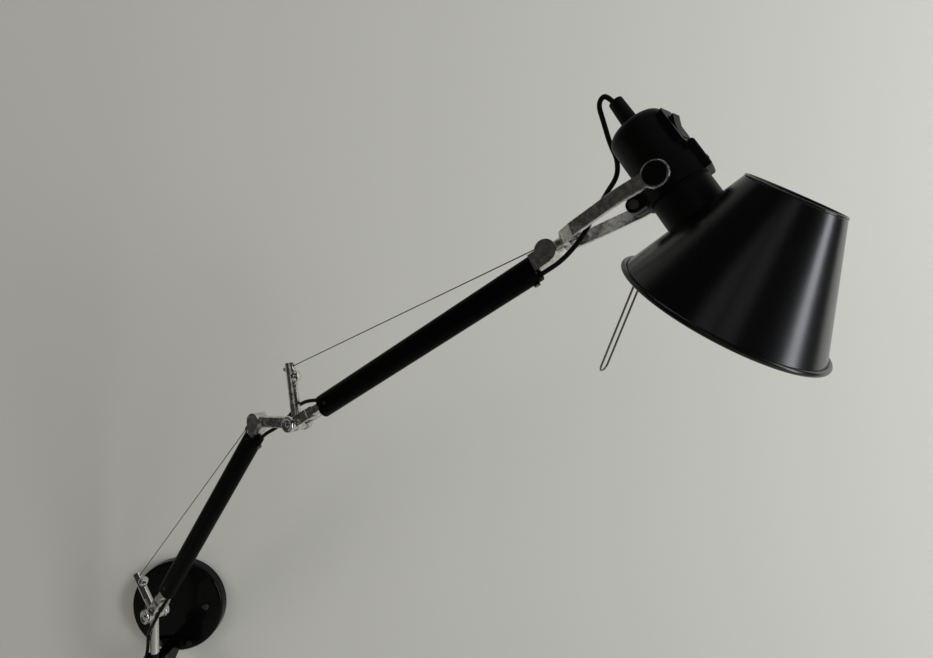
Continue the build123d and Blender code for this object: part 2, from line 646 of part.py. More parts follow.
# Fork, its bolt and washer
hub_end = FORK_ROOT_X + FORK_T / 2
outline = FilletPolyline(
    (FORK_REACH, -FORK_HALF),
    (FORK_REACH - 22, -FORK_HALF),
    (FORK_ROOT_X + 9, -FORK_ROOT_HALF - 3.0),
    (FORK_ROOT_X, -FORK_ROOT_HALF + 2.0),
    (FORK_ROOT_X, FORK_ROOT_HALF - 2.0),
    (FORK_ROOT_X + 9, FORK_ROOT_HALF + 3.0),
    (FORK_REACH - 22, FORK_HALF),
    (FORK_REACH, FORK_HALF),
    radius=4,
)
fork = extrude(trace(outline, line_width=FORK_T), FORK_H / 2, both=True)
for side in (-1, 1):
    inner = side * (FORK_HALF - FORK_T / 2)
    outer = side * (FORK_HALF + FORK_T / 2)
    fork += across(EYE_D, FORK_REACH, 0, inner, outer)
fork += rod(HUB_D, (NECK_END + 0.1, 0, 0), (hub_end, 0, 0))
for side in (-1, 1):
    fork -= across(SPIGOT_D + 2 * RUN_GAP, FORK_REACH, 0, side * 20, side * 40)
fork -= rod(BOLT_D + 2 * RUN_GAP, (NECK_END - 1, 0, 0), (hub_end + 1, 0, 0))
keep("fork", FORK, fork)
washer = rod(BOLT_HEAD_D + 1, (hub_end, 0, 0), (hub_end + WASHER_T, 0, 0))
washer -= rod(BOLT_D, (hub_end, 0, 0), (hub_end + WASHER_T, 0, 0))
keep("fork_washer", FORK, washer)
head_start = hub_end + WASHER_T
bolt = rod(BOLT_D, (NECK_END, 0, 0), (head_start, 0, 0))
bolt += rod(BOLT_THREAD_D, (thread_start, 0, 0), (NECK_END, 0, 0))
bolt_head = rod(BOLT_HEAD_D, (head_start, 0, 0), (head_start + BOLT_HEAD_H, 0, 0))
bolt_head -= extrude(Plane(origin=(head_start + 1.2, 0, 0), z_dir=(1, 0, 0)) * RegularPolygon(2.3, 6), 5)
keep("fork_bolt", FORK, bolt + bolt_head)

# Tilt collar round the housing, with spigots for the fork, a pad and the clamp lug
CLAMP = HEAD * Location((0, 0, AXIS_RISE))
band_in = HOUSING_D + 2 * COLLAR_GAP
band_out = HOUSING_D + 2 * COLLAR_GAP + 2 * COLLAR_WALL
band = rod(band_out, (COLLAR_BACK, 0, 0), (COLLAR_FRONT, 0, 0))
pad_top = HOUSING_D / 2 + PAD_RISE
pad = block(PAD_BACK, COLLAR_FRONT, -PAD_HALF, PAD_HALF, 0, pad_top)
pad = fillet(pad.edges().group_by(Axis.Z)[-1], 1.8)
band += pad
tilt_z = -AXIS_RISE
spigot_end = FORK_HALF + FORK_T / 2
for side in (-1, 1):
    band += across(SPIGOT_D + 3, 0, tilt_z, side * 10, side * (FORK_HALF - FORK_T / 2 - 0.1))
    band += across(SPIGOT_D, 0, tilt_z, side * 10, side * spigot_end)
band += across(LUG_D, LUG_X, -LUG_DROP, -LUG_HALF, LUG_HALF)
band += block(LUG_X - LUG_D / 2, LUG_X + LUG_D / 2, -LUG_HALF, LUG_HALF, -LUG_DROP, -HOUSING_D / 2 + 1)
band -= rod(band_in, (-HOUSING_D, 0, 0), (HOUSING_D, 0, 0))
band -= block(-HOUSING_D, HOUSING_D, -SLIT_W / 2, SLIT_W / 2, -2 * HOUSING_D, -HOUSING_D / 8)
band -= across(CLAMP_SCREW_D, LUG_X, -LUG_DROP, -20, 20)
band -= across(CLAMP_HEAD_D, LUG_X, -LUG_DROP, -LUG_HALF - 1, -LUG_HALF + CLAMP_HEAD_SINK)
band -= rod(SET_SCREW_D, (SET_SCREW_X, SET_SCREW_Y, HOUSING_D / 2), (SET_SCREW_X, SET_SCREW_Y, HOUSING_D))
for side in (-1, 1):
    band -= across(5.0, 0, tilt_z, side * (spigot_end - 5), side * 40)
keep("tilt_collar", CLAMP, band)
clamp_screw = across(CLAMP_SCREW_D, LUG_X, -LUG_DROP, -LUG_HALF + 1, LUG_HALF)
clamp_screw += across(CLAMP_HEAD_D, LUG_X, -LUG_DROP, -LUG_HALF - 0.6, -LUG_HALF + CLAMP_HEAD_SINK)
keep("clamp_screw", CLAMP, clamp_screw)
set_top = pad_top + 0.5
set_low = HOUSING_D / 2 + 0.6
set_screw = rod(SET_SCREW_D, (SET_SCREW_X, SET_SCREW_Y, set_low), (SET_SCREW_X, SET_SCREW_Y, set_top))
keep("collar_set_screw", CLAMP, set_screw)
caps = []
for side in (-1, 1):
    cap = across(EYE_D - 2.2, 0, tilt_z, side * spigot_end, side * (spigot_end + 1.6))
    cap = chamfer(cap.edges().filter_by(GeomType.CIRCLE), 0.4)
    cap += across(5.0, 0, tilt_z, side * (spigot_end - 4.5), side * (spigot_end + 0.5))
    caps.append(cap)
keep("tilt_caps", CLAMP, *caps)

# Shade solids, used to cut what seats on its slanted wall
SHADE = Location((SHADE_X, 0, SHADE_Z), (0, 90 + SHADE_SLANT, 0))
slope = (SHADE_BOTTOM_D - SHADE_TOP_D) / 2 / SHADE_H
wall_across = SHADE_T * sqrt(1 + slope**2)
top_r = SHADE_TOP_D / 2
bottom_r = SHADE_BOTTOM_D / 2
wall_high = (SHADE * Location((top_r, 0, 0))).position
wall_low = (SHADE * Location((bottom_r, 0, SHADE_H))).position
# Where the shade's wall crosses the housing's axis
wall_x = wall_high.X + (wall_low.X - wall_high.X) * wall_high.Z / (wall_high.Z - wall_low.Z)


def cone_solid(inset, low, high):
    r_low = top_r + slope * low - inset
    r_high = top_r + slope * high - inset
    return SHADE * revolve_z([(0, low), (r_low, low), (r_high, high), (0, high)])


outer_cone = cone_solid(0, -8, SHADE_H + 8)
inner_cone = cone_solid(wall_across, -8, SHADE_H + 8)

# Socket housing, cord gland and switch
housing = rod(HOUSING_D, (HOUSING_TOP, 0, 0), (HOUSING_FRONT, 0, 0))
housing = fillet(housing.edges().group_by(Axis.X)[0], HOUSING_EDGE_R)
cavity_d = HOUSING_D - 2 * HOUSING_WALL
cavity = rod(cavity_d, (HOUSING_TOP + HOUSING_WALL + 1, 0, 0), (HOUSING_FRONT + HOUSING_WALL, 0, 0))
cavity = fillet(cavity.edges().group_by(Axis.X)[0], HOUSING_EDGE_R - HOUSING_WALL)
housing -= cavity
shelf = rod(cavity_d + 1, (HOUSING_SHOULDER_X - 2, 0, 0), (HOUSING_SHOULDER_X, 0, 0))
shelf -= rod(HOLDER_D + 0.4, (HOUSING_SHOULDER_X - 3, 0, 0), (HOUSING_SHOULDER_X + 1, 0, 0))
housing += shelf
housing -= outer_cone
pocket_low = HOUSING_D / 2 - POCKET_DEPTH - 2 * POCKET_WALL
housing -= block(POCKET_BACK, POCKET_FRONT, -POCKET_HALF, POCKET_HALF, pocket_low, HOUSING_D)
gland_d = GLAND_BASE_D - 3
housing -= rod(gland_d, (HOUSING_TOP - 5, 0, 0), (HOUSING_TOP + 10, 0, 0))
keep("socket_housing", HOUSE, housing)
gland = taper(GLAND_END_D, GLAND_BASE_D, (HOUSING_TOP - GLAND_LEN, 0, 0), (HOUSING_TOP, 0, 0))
gland += rod(gland_d, (HOUSING_TOP, 0, 0), (HOUSING_TOP + HOUSING_WALL + 1, 0, 0))
foot_start = HOUSING_TOP + HOUSING_WALL + 1
gland += rod(gland_d + 3, (foot_start, 0, 0), (foot_start + GLAND_FOOT, 0, 0))
gland -= rod(CORD_HOLE_D, (HOUSING_TOP - 2 * GLAND_LEN, 0, 0), (0, 0, 0))
keep("cord_gland", HOUSE, gland)

switch_top = HOUSING_D / 2 + SWITCH_RISE
switch_low = HOUSING_D / 2 - SWITCH_FOOT
body = block(SWITCH_BACK, SWITCH_FRONT, -SWITCH_HALF, SWITCH_HALF, switch_low, switch_top)
body = fillet(body.edges().filter_by(Axis.Z), 3.0)
body -= rod(HOUSING_D, (2 * HOUSING_TOP, 0, 0), (HOUSING_D, 0, 0))
lining = block(POCKET_BACK, POCKET_FRONT, -POCKET_HALF, POCKET_HALF, POCKET_FLOOR, HOUSING_D / 2 + 0.8)
body += lining
inside = block(
    POCKET_BACK + POCKET_WALL,
    POCKET_FRONT - POCKET_WALL,
    -POCKET_HALF + POCKET_WALL / 2,
    POCKET_HALF - POCKET_WALL / 2,
    POCKET_FLOOR + POCKET_WALL + 0.2,
    HOUSING_D,
)
body -= inside
body -= across(ROCKER_PIN_D, ROCKER_X, ROCKER_AXIS_RISE, -POCKET_HALF - 1, POCKET_HALF + 1)
keep("switch_body", HOUSE, body)
rocker_profile = [
    (ROCKER_X - 6.4, ROCKER_AXIS_RISE - 0.6),
    (ROCKER_X - 7.4, ROCKER_AXIS_RISE + 6.4),
    (ROCKER_X - 4.6, ROCKER_AXIS_RISE + 5.2),
    (ROCKER_X - 1.0, ROCKER_AXIS_RISE + 3.9),
    (ROCKER_X + 3.0, ROCKER_AXIS_RISE + 3.3),
    (ROCKER_X + 7.2, ROCKER_AXIS_RISE + 3.4),
    (ROCKER_X + 6.4, ROCKER_AXIS_RISE - 0.6),
    (ROCKER_X + 1.4, ROCKER_AXIS_RISE - 1.6),
    (ROCKER_X - 1.4, ROCKER_AXIS_RISE - 1.6),
]
face = make_face(Polyline(*[(x, 0, z) for x, z in rocker_profile], close=True))
rocker = extrude(face, ROCKER_HALF - 0.3, dir=(0, 1, 0), both=True)
rocker -= across(ROCKER_PIN_D + 2 * RUN_GAP, ROCKER_X, ROCKER_AXIS_RISE, -20, 20)
keep("switch_rocker", HOUSE, rocker)
pin_half = POCKET_HALF - 0.1
keep("rocker_pin", HOUSE, across(ROCKER_PIN_D, ROCKER_X, ROCKER_AXIS_RISE, -pin_half, pin_half))

# Lamp holder, ring, bulb and shade
holder = rod(HOLDER_D, (HOLDER_BACK, 0, 0), (HOLDER_FRONT, 0, 0))
holder += rod(cavity_d, (HOUSING_SHOULDER_X, 0, 0), (HOUSING_SHOULDER_X + FLANGE_T, 0, 0))
holder -= rod(HOLDER_D - 2 * HOLDER_WALL, (HOLDER_FRONT - 15, 0, 0), (HOLDER_FRONT + 1, 0, 0))
holder -= rod(BULB_CAP_D + 0.4, (BULB_BACK - 1.5, 0, 0), (HOLDER_FRONT, 0, 0))
keep("lamp_holder", HOUSE, holder)
ring = rod(RING_D, (wall_x - RING_D / 2, 0, 0), (wall_x + RING_SAG + RING_T, 0, 0)) & inner_cone
ring -= rod(HOLDER_D, (0, 0, 0), (60, 0, 0))
bulb_r = BULB_D / 2
centre_x = BULB_BACK + BULB_LEN - bulb_r
bulb = ball(BULB_D, (centre_x, 0, 0))
bulb += taper(BULB_NECK_D, BULB_D * 0.8, (BULB_BACK + BULB_CAP_LEN, 0, 0), (centre_x - bulb_r * 0.6, 0, 0))
bulb += rod(BULB_CAP_D, (BULB_BACK, 0, 0), (BULB_BACK + BULB_CAP_LEN + 0.5, 0, 0))
keep("bulb", HOUSE, bulb)

low_line = [(top_r - wall_across, 0), (top_r, 0), (bottom_r, SHADE_H), (bottom_r - wall_across, SHADE_H)]
shade = SHADE * revolve_z(low_line)
rim_face = Plane(origin=(bottom_r + RIM_D / 4, 0, SHADE_H), z_dir=(0, 1, 0)) * Circle(RIM_D / 2)
shade += SHADE * revolve(rim_face, Axis.Z)
top_face = Plane(origin=(top_r - wall_across / 2, 0, 0), z_dir=(0, 1, 0)) * Circle(TOP_RIM_D / 2)
shade += SHADE * revolve(top_face, Axis.Z)
shade -= rod(SHADE_HOLE_D, (0, 0, 0), (wall_x + SHADE_HOLE_D / 2, 0, 0))
keep("shade", HOUSE, shade)

# Handle: a hairpin of wire held in the ring inside the shade, out past the rim
half_gap = HANDLE_GAP / 2
hairpin = []
root_x = wall_x + HANDLE_ROOT_STAND
knee_x = wall_x + HANDLE_KNEE_STAND
for side in (-1, 1):
    leg = [
        (root_x, side * half_gap, HANDLE_ROOT_Z),
        (knee_x, side * half_gap, HANDLE_KNEE_Z, 0.2),
        (HANDLE_TIP_X, side * half_gap, HANDLE_TIP_Z),
    ]
    hairpin += leg if side < 0 else leg[::-1]
handle_path, _ = route(hairpin)
handle_section = Plane(origin=handle_path @ 0, z_dir=handle_path % 0) * Circle(HANDLE_WIRE_D / 2)
keep("shade_handle", HOUSE, sweep(handle_section, handle_path))
for side in (-1, 1):
    start = (root_x, side * half_gap, HANDLE_ROOT_Z)
    end = (knee_x, side * half_gap, HANDLE_KNEE_Z)
    ring -= rod(HANDLE_WIRE_D, start, end)
keep("shade_ring", HOUSE, ring)

# Cord: bracket, shoulder, through both arms, over the elbow, fork, gland
terminal_at = (-7.0, terminal_y, -TERMINAL_W / 2 + 1)
wall_turn = (cord_hole[0], terminal_y, foot_z, 0.27)
through_foot = (cord_hole[0], -22.0, foot_z)
below_arm = (-10.4, -42.0, -50.0)
below_notch = (-10.9, -61.8, -47.0)
half_way = tuple((Vector(*below_arm) + Vector(*below_notch)) * 0.5)
keep("cord_wall", HOME, lead("cord_wall", [terminal_at, wall_turn, through_foot, below_arm, half_way]))
stem_top, over_stem = to_world(SWING, (-3.2, -5.3, -14), (-3.2, -5.3, -22))
keep("cord_stem", HOME, lead("cord_stem", [half_way, below_notch, over_stem, stem_top]))
low_lane = -5.5
shoulder_run = to_world(SWING, (-3.2, -5.3, -14), (-3.2, -5.3, -7), (3.5, -8.2, 1), (12, -9.2, 10), (20.5, -7.6, 25))
lower_lane = to_world(ARM1, (31, 0, low_lane), (236, 0, low_lane))
keep("cord_lower", HOME, lead("cord_lower", shoulder_run + lower_lane))
elbow_start = to_world(ARM1, (236, 0, low_lane), (253, 0, low_lane))
elbow_end = to_world(
    ARM2,
    (-27, 7.2, 8.3),
    (0, 8.8, 15.8),
    (15, 5, 13.2),
    (34, 0, 5.6),
    (49, 0, 5.6),
    (61, 3.1, 0),
    (76, 0, low_lane),
    (236, 0, low_lane),
)
elbow_end[5] = (*elbow_end[5], 0.25)
keep("cord_upper", HOME, lead("cord_upper", elbow_start + elbow_end))
wrist = to_world(ARM2, (236, 0, low_lane), (253, 0, low_lane))
wrist += to_world(FORK, (7, -6, -11.8), (24, -7.5, -6.2), (37, -3.5, 4.5), (43, -1.2, 9.5))
keep("cord_wrist", HOME, lead("cord_wrist", wrist))
rise = to_world(FORK, (43, -1.2, 9.5), (49, 1.1, 14.5)) + to_world(HEAD, (-25, 8.6, -19.6), (-29, 8.9, -17.0))
keep("cord_tilt", HOME, lead("cord_tilt", rise))
loop = to_world(
    HEAD,
    (-29, 8.9, -17.0),
    (-34.2, 9.29, -13.62),
    (-45, 8.8, -12.2),
    (-58, 5, -7.6),
    (-69.5, 1.0, -3.6),
    (-69.0, 0, 4.8),
    (-40, 0, 4.8),
)
keep("cord_head", HOME, lead("cord_head", loop))

os.makedirs("parts", exist_ok=True)
for name, solids in parts.items():
    found = [piece for solid in solids for piece in solid.solids()]
    shape = found[0] if len(found) == 1 else Compound(children=found)
    export_step(shape, "parts/%s.step" % name)
    print(name, len(found), "volume %.0f" % sum(piece.volume for piece in found))
print(len(parts), "nodes; elbow", ELBOW, "tilt", TILT, "link", link_angle, link_len)
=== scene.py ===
from math import acos, atan2, cos, degrees, hypot, pi, radians, sin, sqrt

import bmesh
import bpy
from bpy.props import FloatProperty, FloatVectorProperty, PointerProperty
from mathutils import Matrix, Vector


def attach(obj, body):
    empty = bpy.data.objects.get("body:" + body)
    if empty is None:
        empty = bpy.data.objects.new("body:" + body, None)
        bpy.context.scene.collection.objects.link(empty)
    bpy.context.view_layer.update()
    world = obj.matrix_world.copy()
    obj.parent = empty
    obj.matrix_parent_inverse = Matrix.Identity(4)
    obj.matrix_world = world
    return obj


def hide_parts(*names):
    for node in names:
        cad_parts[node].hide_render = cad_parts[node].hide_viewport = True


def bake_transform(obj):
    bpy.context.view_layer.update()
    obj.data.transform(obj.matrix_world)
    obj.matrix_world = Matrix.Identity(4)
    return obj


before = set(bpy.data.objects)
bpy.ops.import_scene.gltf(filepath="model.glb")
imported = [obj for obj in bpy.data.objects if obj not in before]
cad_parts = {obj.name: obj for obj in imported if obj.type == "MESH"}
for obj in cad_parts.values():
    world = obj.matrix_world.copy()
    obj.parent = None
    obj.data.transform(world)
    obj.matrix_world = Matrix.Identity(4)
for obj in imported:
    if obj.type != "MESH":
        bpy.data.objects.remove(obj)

bl_info = {
    "name": "Spring-balanced wall lamp",
    "version": (1, 0, 0),
    "blender": (4, 5, 0),
    "location": "3D View > Sidebar > Wall lamp",
    "description": "Finishes and fine pieces of a two-armed wall lamp on its CAD frame",
    "category": "Object",
}

# Millimetres and degrees, as in the CAD frame; MM turns them into Blender's metres.
# The wall is the plane y = 0 and the lamp stands out towards -Y.
MM = 0.001

# The rod's distance from the wall, its turn in the photo and the height of the shoulder.
STEM_OUT = 56.0
STEM_YAW = -30.0
SHOULDER_Z = 15.0

# Angles in the photo, above the horizontal in the plane of the arms.
LOWER_ANGLE = 52.4
UPPER_ANGLE = 28.7
FORK_ANGLE = 25.1
HEAD_ANGLE = -57.6

# The balance mechanism: places along each arm from its pivot and heights above its axis.
# ARM_REACH and GUIDE_RISE place the guide wheel, CABLE_LOW is where the cable leaves it, and
# CABLE_BACK is how far the cable reaches through the lever.
ARM_REACH = 262.0
GUIDE_RISE = 5.0
WHEEL_GROOVE = 5.07
CABLE_LOW = GUIDE_RISE - WHEEL_GROOVE
CABLE_BACK = 6.5
NIPPLE_R = 1.9
TANG_END = 206.0
SPRING_ANCHOR = 44.5
SPRING_START = 76.0
SPRING_END = 198.0
SPRING_RISE = 1.0
SPRING_R = 4.4

# Each lever's angle above the horizontal and its length from the pivot to the cable.
LOWER_LEVER = (134.2, 42.3)
UPPER_LEVER = (99.8, 47.8)

# The cord's lane in each tube: its height, the end of its straight part and the tube's mouth.
LANE = -5.5
LANE_END = (236, 0, LANE)
TUBE_MOUTH = (253, 0, LANE)

# The head, from the fork's pivot to the shade, which widens by the flare over its height.
FORK_REACH = 80.0
HOUSE_RISE = 4.8
HEAD_TURN = 13.0
SHADE_X = 49.2
SHADE_Z = 43.1
SHADE_TURN = 155.1
SHADE_TOP_R = 26.8
SHADE_FLARE = 32.3
SHADE_H = 68.4
HALF_WALL = 0.65

# Inside the shade, below its top edge: where the painted shade, a black band that stands
# in for shade, ends, where all is white and how deep the ramp between them goes.
PAINTED_SHADE_END = 11.0
WHITE_START = 17.0
RAMP_SPAN = 50.0

# Edges sharper than this many degrees stay sharp.
SHARP_ANGLE = 38.0


def place(x, y, z):
    return Matrix.Translation(Vector((x, y, z)) * MM)


def turn(angle, axis):
    return Matrix.Rotation(radians(angle), 4, axis)


def lifted(u, z, angle):
    """A frame in the arms' plane, at u along it and z up, its x axis raised by angle."""
    return SWING @ place(u, 0, z) @ turn(-angle, "Y")


def at(where, *points):
    """Points of the frame where, in millimetres, as places in the scene."""
    return [where @ (Vector(point) * MM) for point in points]


def along(length, angle):
    """The two parts of a length that rises by angle."""
    return length * cos(radians(angle)), length * sin(radians(angle))


# The frames of the moving parts as in the photo. ELBOW, TIP and TILT_AXIS are points in the
# plane of the arms: the distance from the rod and the height.
SWING = place(0, -STEM_OUT, 0) @ turn(STEM_YAW, "Z")
ELBOW = (205.1006, 228.0006)
TIP = (
    ELBOW[0] + along(ARM_REACH, UPPER_ANGLE)[0] - GUIDE_RISE * sin(radians(UPPER_ANGLE)),
    ELBOW[1] + along(ARM_REACH, UPPER_ANGLE)[1] + GUIDE_RISE * cos(radians(UPPER_ANGLE)),
)
TILT_AXIS = tuple(tip + part for tip, part in zip(TIP, along(FORK_REACH, FORK_ANGLE)))
ARM1 = lifted(0, SHOULDER_Z, LOWER_ANGLE)
ARM2 = lifted(*ELBOW, UPPER_ANGLE)
FORK = lifted(*TIP, FORK_ANGLE)
HEAD = lifted(*TILT_AXIS, HEAD_ANGLE)
HOUSE = HEAD @ place(0, 0, HOUSE_RISE) @ turn(HEAD_TURN, "X")
SHADE = HOUSE @ place(SHADE_X, 0, SHADE_Z) @ turn(SHADE_TURN, "Y")
LOWER_POINT = along(LOWER_LEVER[1], LOWER_LEVER[0] - LOWER_ANGLE)
UPPER_POINT = along(UPPER_LEVER[1], UPPER_LEVER[0] - UPPER_ANGLE)


# Shader expressions

class Flow:
    """A value on its way through a finish; arithmetic on it adds Math nodes."""

    def __init__(self, finish, socket):
        self.finish = finish
        self.socket = socket

    def _math(self, operation, first, second):
        return self.finish.node("ShaderNodeMath", {"operation": operation}, {0: first, 1: second})

    def __add__(self, other):
        return self._math("ADD", self, other)

    def __radd__(self, other):
        return self._math("ADD", other, self)

    def __sub__(self, other):
        return self._math("SUBTRACT", self, other)

    def __mul__(self, other):
        return self._math("MULTIPLY", self, other)

    def __pow__(self, other):
        return self._math("POWER", self, other)

    def __lt__(self, other):
        return self._math("LESS_THAN", self, other)


class Finish:
    """A material on one Principled shader, with the nodes that vary it over the surface."""

    def __init__(self, name, **steady):
        self.material = bpy.data.materials.new(name)
        self.material.use_nodes = True
        self.tree = self.material.node_tree
        self.shader = next(n for n in self.tree.nodes if n.type == "BSDF_PRINCIPLED")
        for socket, value in steady.items():
            self.shader.inputs[socket.replace("_", " ")].default_value = value
        self.here = self.node("ShaderNodeTexCoord", {}, {}, "Object")

    def node(self, kind, settings, sockets, output=0):
        made = self.tree.nodes.new(kind)
        for name, value in settings.items():
            if name == "stops":
                self.stops(made.color_ramp, value)
            else:
                setattr(made, name, value)
        for name, value in sockets.items():
            if isinstance(value, Flow):
                self.tree.links.new(value.socket, made.inputs[name])
            else:
                made.inputs[name].default_value = value
        return Flow(self, made.outputs[output])

    def stops(self, ramp, stops):
        while len(ramp.elements) < len(stops):
            ramp.elements.new(0.5)
        for element, (position, grey) in zip(ramp.elements, stops):
            element.position = position
            element.color = (grey, grey, grey, 1)

    def feed(self, **flows):
        """Links each value to the shader's socket of that name."""
        for socket, flow in flows.items():
            self.tree.links.new(flow.socket, self.shader.inputs[socket.replace("_", " ")])

    def noise(self, scale, detail=3.0, rough=0.5, where=None):
        sockets = {"Vector": where or self.here, "Scale": scale, "Detail": detail, "Roughness": rough}
        return self.node("ShaderNodeTexNoise", {}, sockets, "Fac")

    def ramp(self, value, *stops):
        return self.node("ShaderNodeValToRGB", {"stops": stops}, {"Fac": value})

    def dot(self, axis):
        settings = {"operation": "DOT_PRODUCT"}
        return self.node("ShaderNodeVectorMath", settings, {0: self.here, 1: axis}, "Value")

    def local(self, where):
        """The three coordinates of the surface in the frame where, in metres."""
        origin = where.to_translation()
        axes = [where.to_3x3().col[i].copy() for i in range(3)]
        return [self.dot(axis) - axis.dot(origin) for axis in axes]

    def grain(self, where, fine):
        """Coordinates stretched along the x axis of where, for drawn or brushed lines."""
        x, y, z = self.local(where)
        stretched = {"X": x * (fine * 0.02), "Y": y * fine, "Z": z * fine}
        return self.node("ShaderNodeCombineXYZ", {}, stretched)

    def blend(self, amount, first, second):
        """Mixes two colours by amount. The Mix node's colour sockets are 6, 7 and, out, 2."""
        return self.node("ShaderNodeMix", {"data_type": "RGBA"}, {0: amount, 6: first, 7: second}, 2)

    def bump(self, height, depth, under=None):
        sockets = {"Height": height, "Strength": 1.0, "Distance": depth}
        if under:
            sockets["Normal"] = under
        return self.node("ShaderNodeBump", {}, sockets)


def rgb(colour, share=1.0):
    """The colour times share, with an alpha of 1."""
    return tuple(min(1.0, channel * share) for channel in tuple(colour)[:3]) + (1.0,)


# Finishes, each made when a step first asks for it

FINISHES = {}


def enamel(name, colour):
    """Sprayed black paint: a faint orange peel, soft cloudy sheen and a little dust."""
    skin = Finish(name, Specular_IOR_Level=0.13, Coat_Roughness=0.08, Coat_Weight=0.04)
    cloud = skin.noise(22.0, 4.0, 0.6)
    specks = skin.ramp(skin.noise(2600.0, 2.0, 0.5), (0.66, 0.0), (0.74, 1.0))
    dust = specks * skin.ramp(skin.noise(70.0, 3.0, 0.6), (0.45, 0.0), (0.7, 0.5))
    shade = skin.blend(cloud, rgb(colour, 0.8), rgb(colour, 1.3))
    skin.feed(
        Base_Color=skin.blend(dust * 0.2, shade, (0.05, 0.048, 0.044, 1)),
        Roughness=0.16 + (cloud - 0.5) * 0.1 + dust * 0.2,
        Normal=skin.bump(skin.noise(900.0, 2.0, 0.5), 0.000012),
    )
    return skin.material


def drawn_tube(name, colour, where):
    """Satin black tube with faint lines drawn along the arm."""
    skin = Finish(name, Specular_IOR_Level=0.05)
    lines = skin.noise(1.0, 3.0, 0.6, skin.grain(where, 2400.0))
    cloud = skin.noise(30.0, 4.0, 0.6)
    fine = skin.noise(5200.0, 2.0, 0.6)
    tone = skin.blend(lines * 0.6 + cloud * 0.4, rgb(colour, 0.7), rgb(colour, 1.5))
    skin.feed(
        Base_Color=tone,
        Roughness=0.42 + (lines - 0.5) * 0.12 + (cloud - 0.5) * 0.12,
        Normal=skin.bump(fine, 0.000008, skin.bump(lines, 0.00001)),
    )
    return skin.material


def cast_metal(name, colour, where, roughness):
    """Cast and polished aluminium: mottled, with cloudy reflections, polishing lines and pits."""
    skin = Finish(name, Metallic=1.0)
    lines = skin.noise(1.0, 4.0, 0.65, skin.grain(where, 1500.0))
    cloud = skin.noise(240.0, 5.0, 0.6)
    swell = skin.noise(75.0, 2.0, 0.5)
    pits = skin.ramp(skin.noise(900.0, 3.0, 0.7), (0.7, 0.0), (0.78, 1.0))
    mottle = skin.ramp(cloud, (0.34, 0.0), (0.64, 1.0))
    tone = skin.blend(mottle, rgb(colour, 0.6), rgb(colour, 1.12))
    relief = cloud * 0.14 + swell - pits * 0.03
    skin.feed(
        Base_Color=skin.blend(pits * 0.45, tone, rgb(colour, 0.4)),
        Roughness=roughness + (cloud - 0.5) * 0.22 + (lines - 0.5) * 0.14 + pits * 0.2,
        Normal=skin.bump(lines, 0.000016, skin.bump(relief, 0.0011)),
    )
    return skin.material


def plated(name, colour, roughness, brushed=0.0):
    """Plated steel: near a mirror, with wiping marks and hazy patches."""
    skin = Finish(name, Metallic=1.0)
    haze = skin.noise(140.0, 4.0, 0.65)
    lines = skin.noise(1.0, 3.0, 0.6, skin.grain(SWING, 3000.0))
    patches = skin.bump(haze, 0.000005 + brushed * 0.00004)
    skin.feed(
        Base_Color=skin.blend(haze, rgb(colour, 0.9), rgb(colour, 1.06)),
        Roughness=roughness + (haze - 0.4) * 0.06 + (lines - 0.5) * brushed,
        Normal=skin.bump(lines, 0.000002 + brushed * 0.00004, patches),
    )
    return skin.material


def moulded(name, colour, roughness, texture=0.00002, scale=2600.0):
    """Moulded plastic or rubber with a fine even texture and slight flow marks."""
    skin = Finish(name, Specular_IOR_Level=0.14)
    flow = skin.noise(45.0, 4.0, 0.55)
    fine = skin.noise(scale, 3.0, 0.6)
    skin.feed(
        Base_Color=skin.blend(flow * 0.7 + fine * 0.3, rgb(colour, 0.78), rgb(colour, 1.25)),
        Roughness=roughness + (flow - 0.5) * 0.14 + (fine - 0.5) * 0.1,
        Normal=skin.bump(fine, texture),
    )
    return skin.material


def shade_enamel(name, colour, inside):
    """Semi-gloss black outside and matt white inside, with painted shade: a black band inside, below
    the top edge.
    """
    skin = Finish(name, Specular_IOR_Level=0.38)
    x, y, depth = skin.local(SHADE)
    radius = (x * x + y * y) ** 0.5
    middle = (SHADE_TOP_R - HALF_WALL) * MM + depth * (SHADE_FLARE / SHADE_H)
    is_inside = radius < middle
    cloud = skin.noise(16.0, 4.0, 0.6)
    peel = skin.noise(700.0, 2.0, 0.5)
    specks = skin.ramp(skin.noise(2400.0, 2.0, 0.5), (0.68, 0.0), (0.75, 1.0))
    paint = skin.blend(cloud, rgb(colour, 0.8), rgb(colour, 1.3))
    black = skin.blend(specks * 0.08, paint, (0.05, 0.048, 0.044, 1))
    white = skin.blend(cloud, rgb(inside, 0.94), rgb(inside, 1.04))
    # Painted shade: inside, near the top edge, the white turns to black.
    stops = (PAINTED_SHADE_END / RAMP_SPAN, 0.0), (WHITE_START / RAMP_SPAN, 1.0)
    white = skin.blend(skin.ramp(depth * (1 / (RAMP_SPAN * MM)), *stops), black, white)
    skin.feed(
        Base_Color=skin.blend(is_inside, black, white),
        Roughness=0.23 + (cloud - 0.5) * 0.08 + is_inside * 0.32,
        Normal=skin.bump(peel, 0.000014),
    )
    return skin.material


def opal(name):
    """Opal glass that scatters light a little."""
    skin = Finish(
        name, Roughness=0.12, Specular_IOR_Level=0.5, Subsurface_Weight=0.3, Subsurface_Scale=0.004)
    cloud = skin.noise(60.0, 3.0, 0.5)
    skin.feed(
        Base_Color=skin.blend(cloud, (0.84, 0.83, 0.79, 1), (0.92, 0.91, 0.88, 1)),
        Normal=skin.bump(skin.noise(300.0, 2.0, 0.5), 0.00001),
    )
    return skin.material


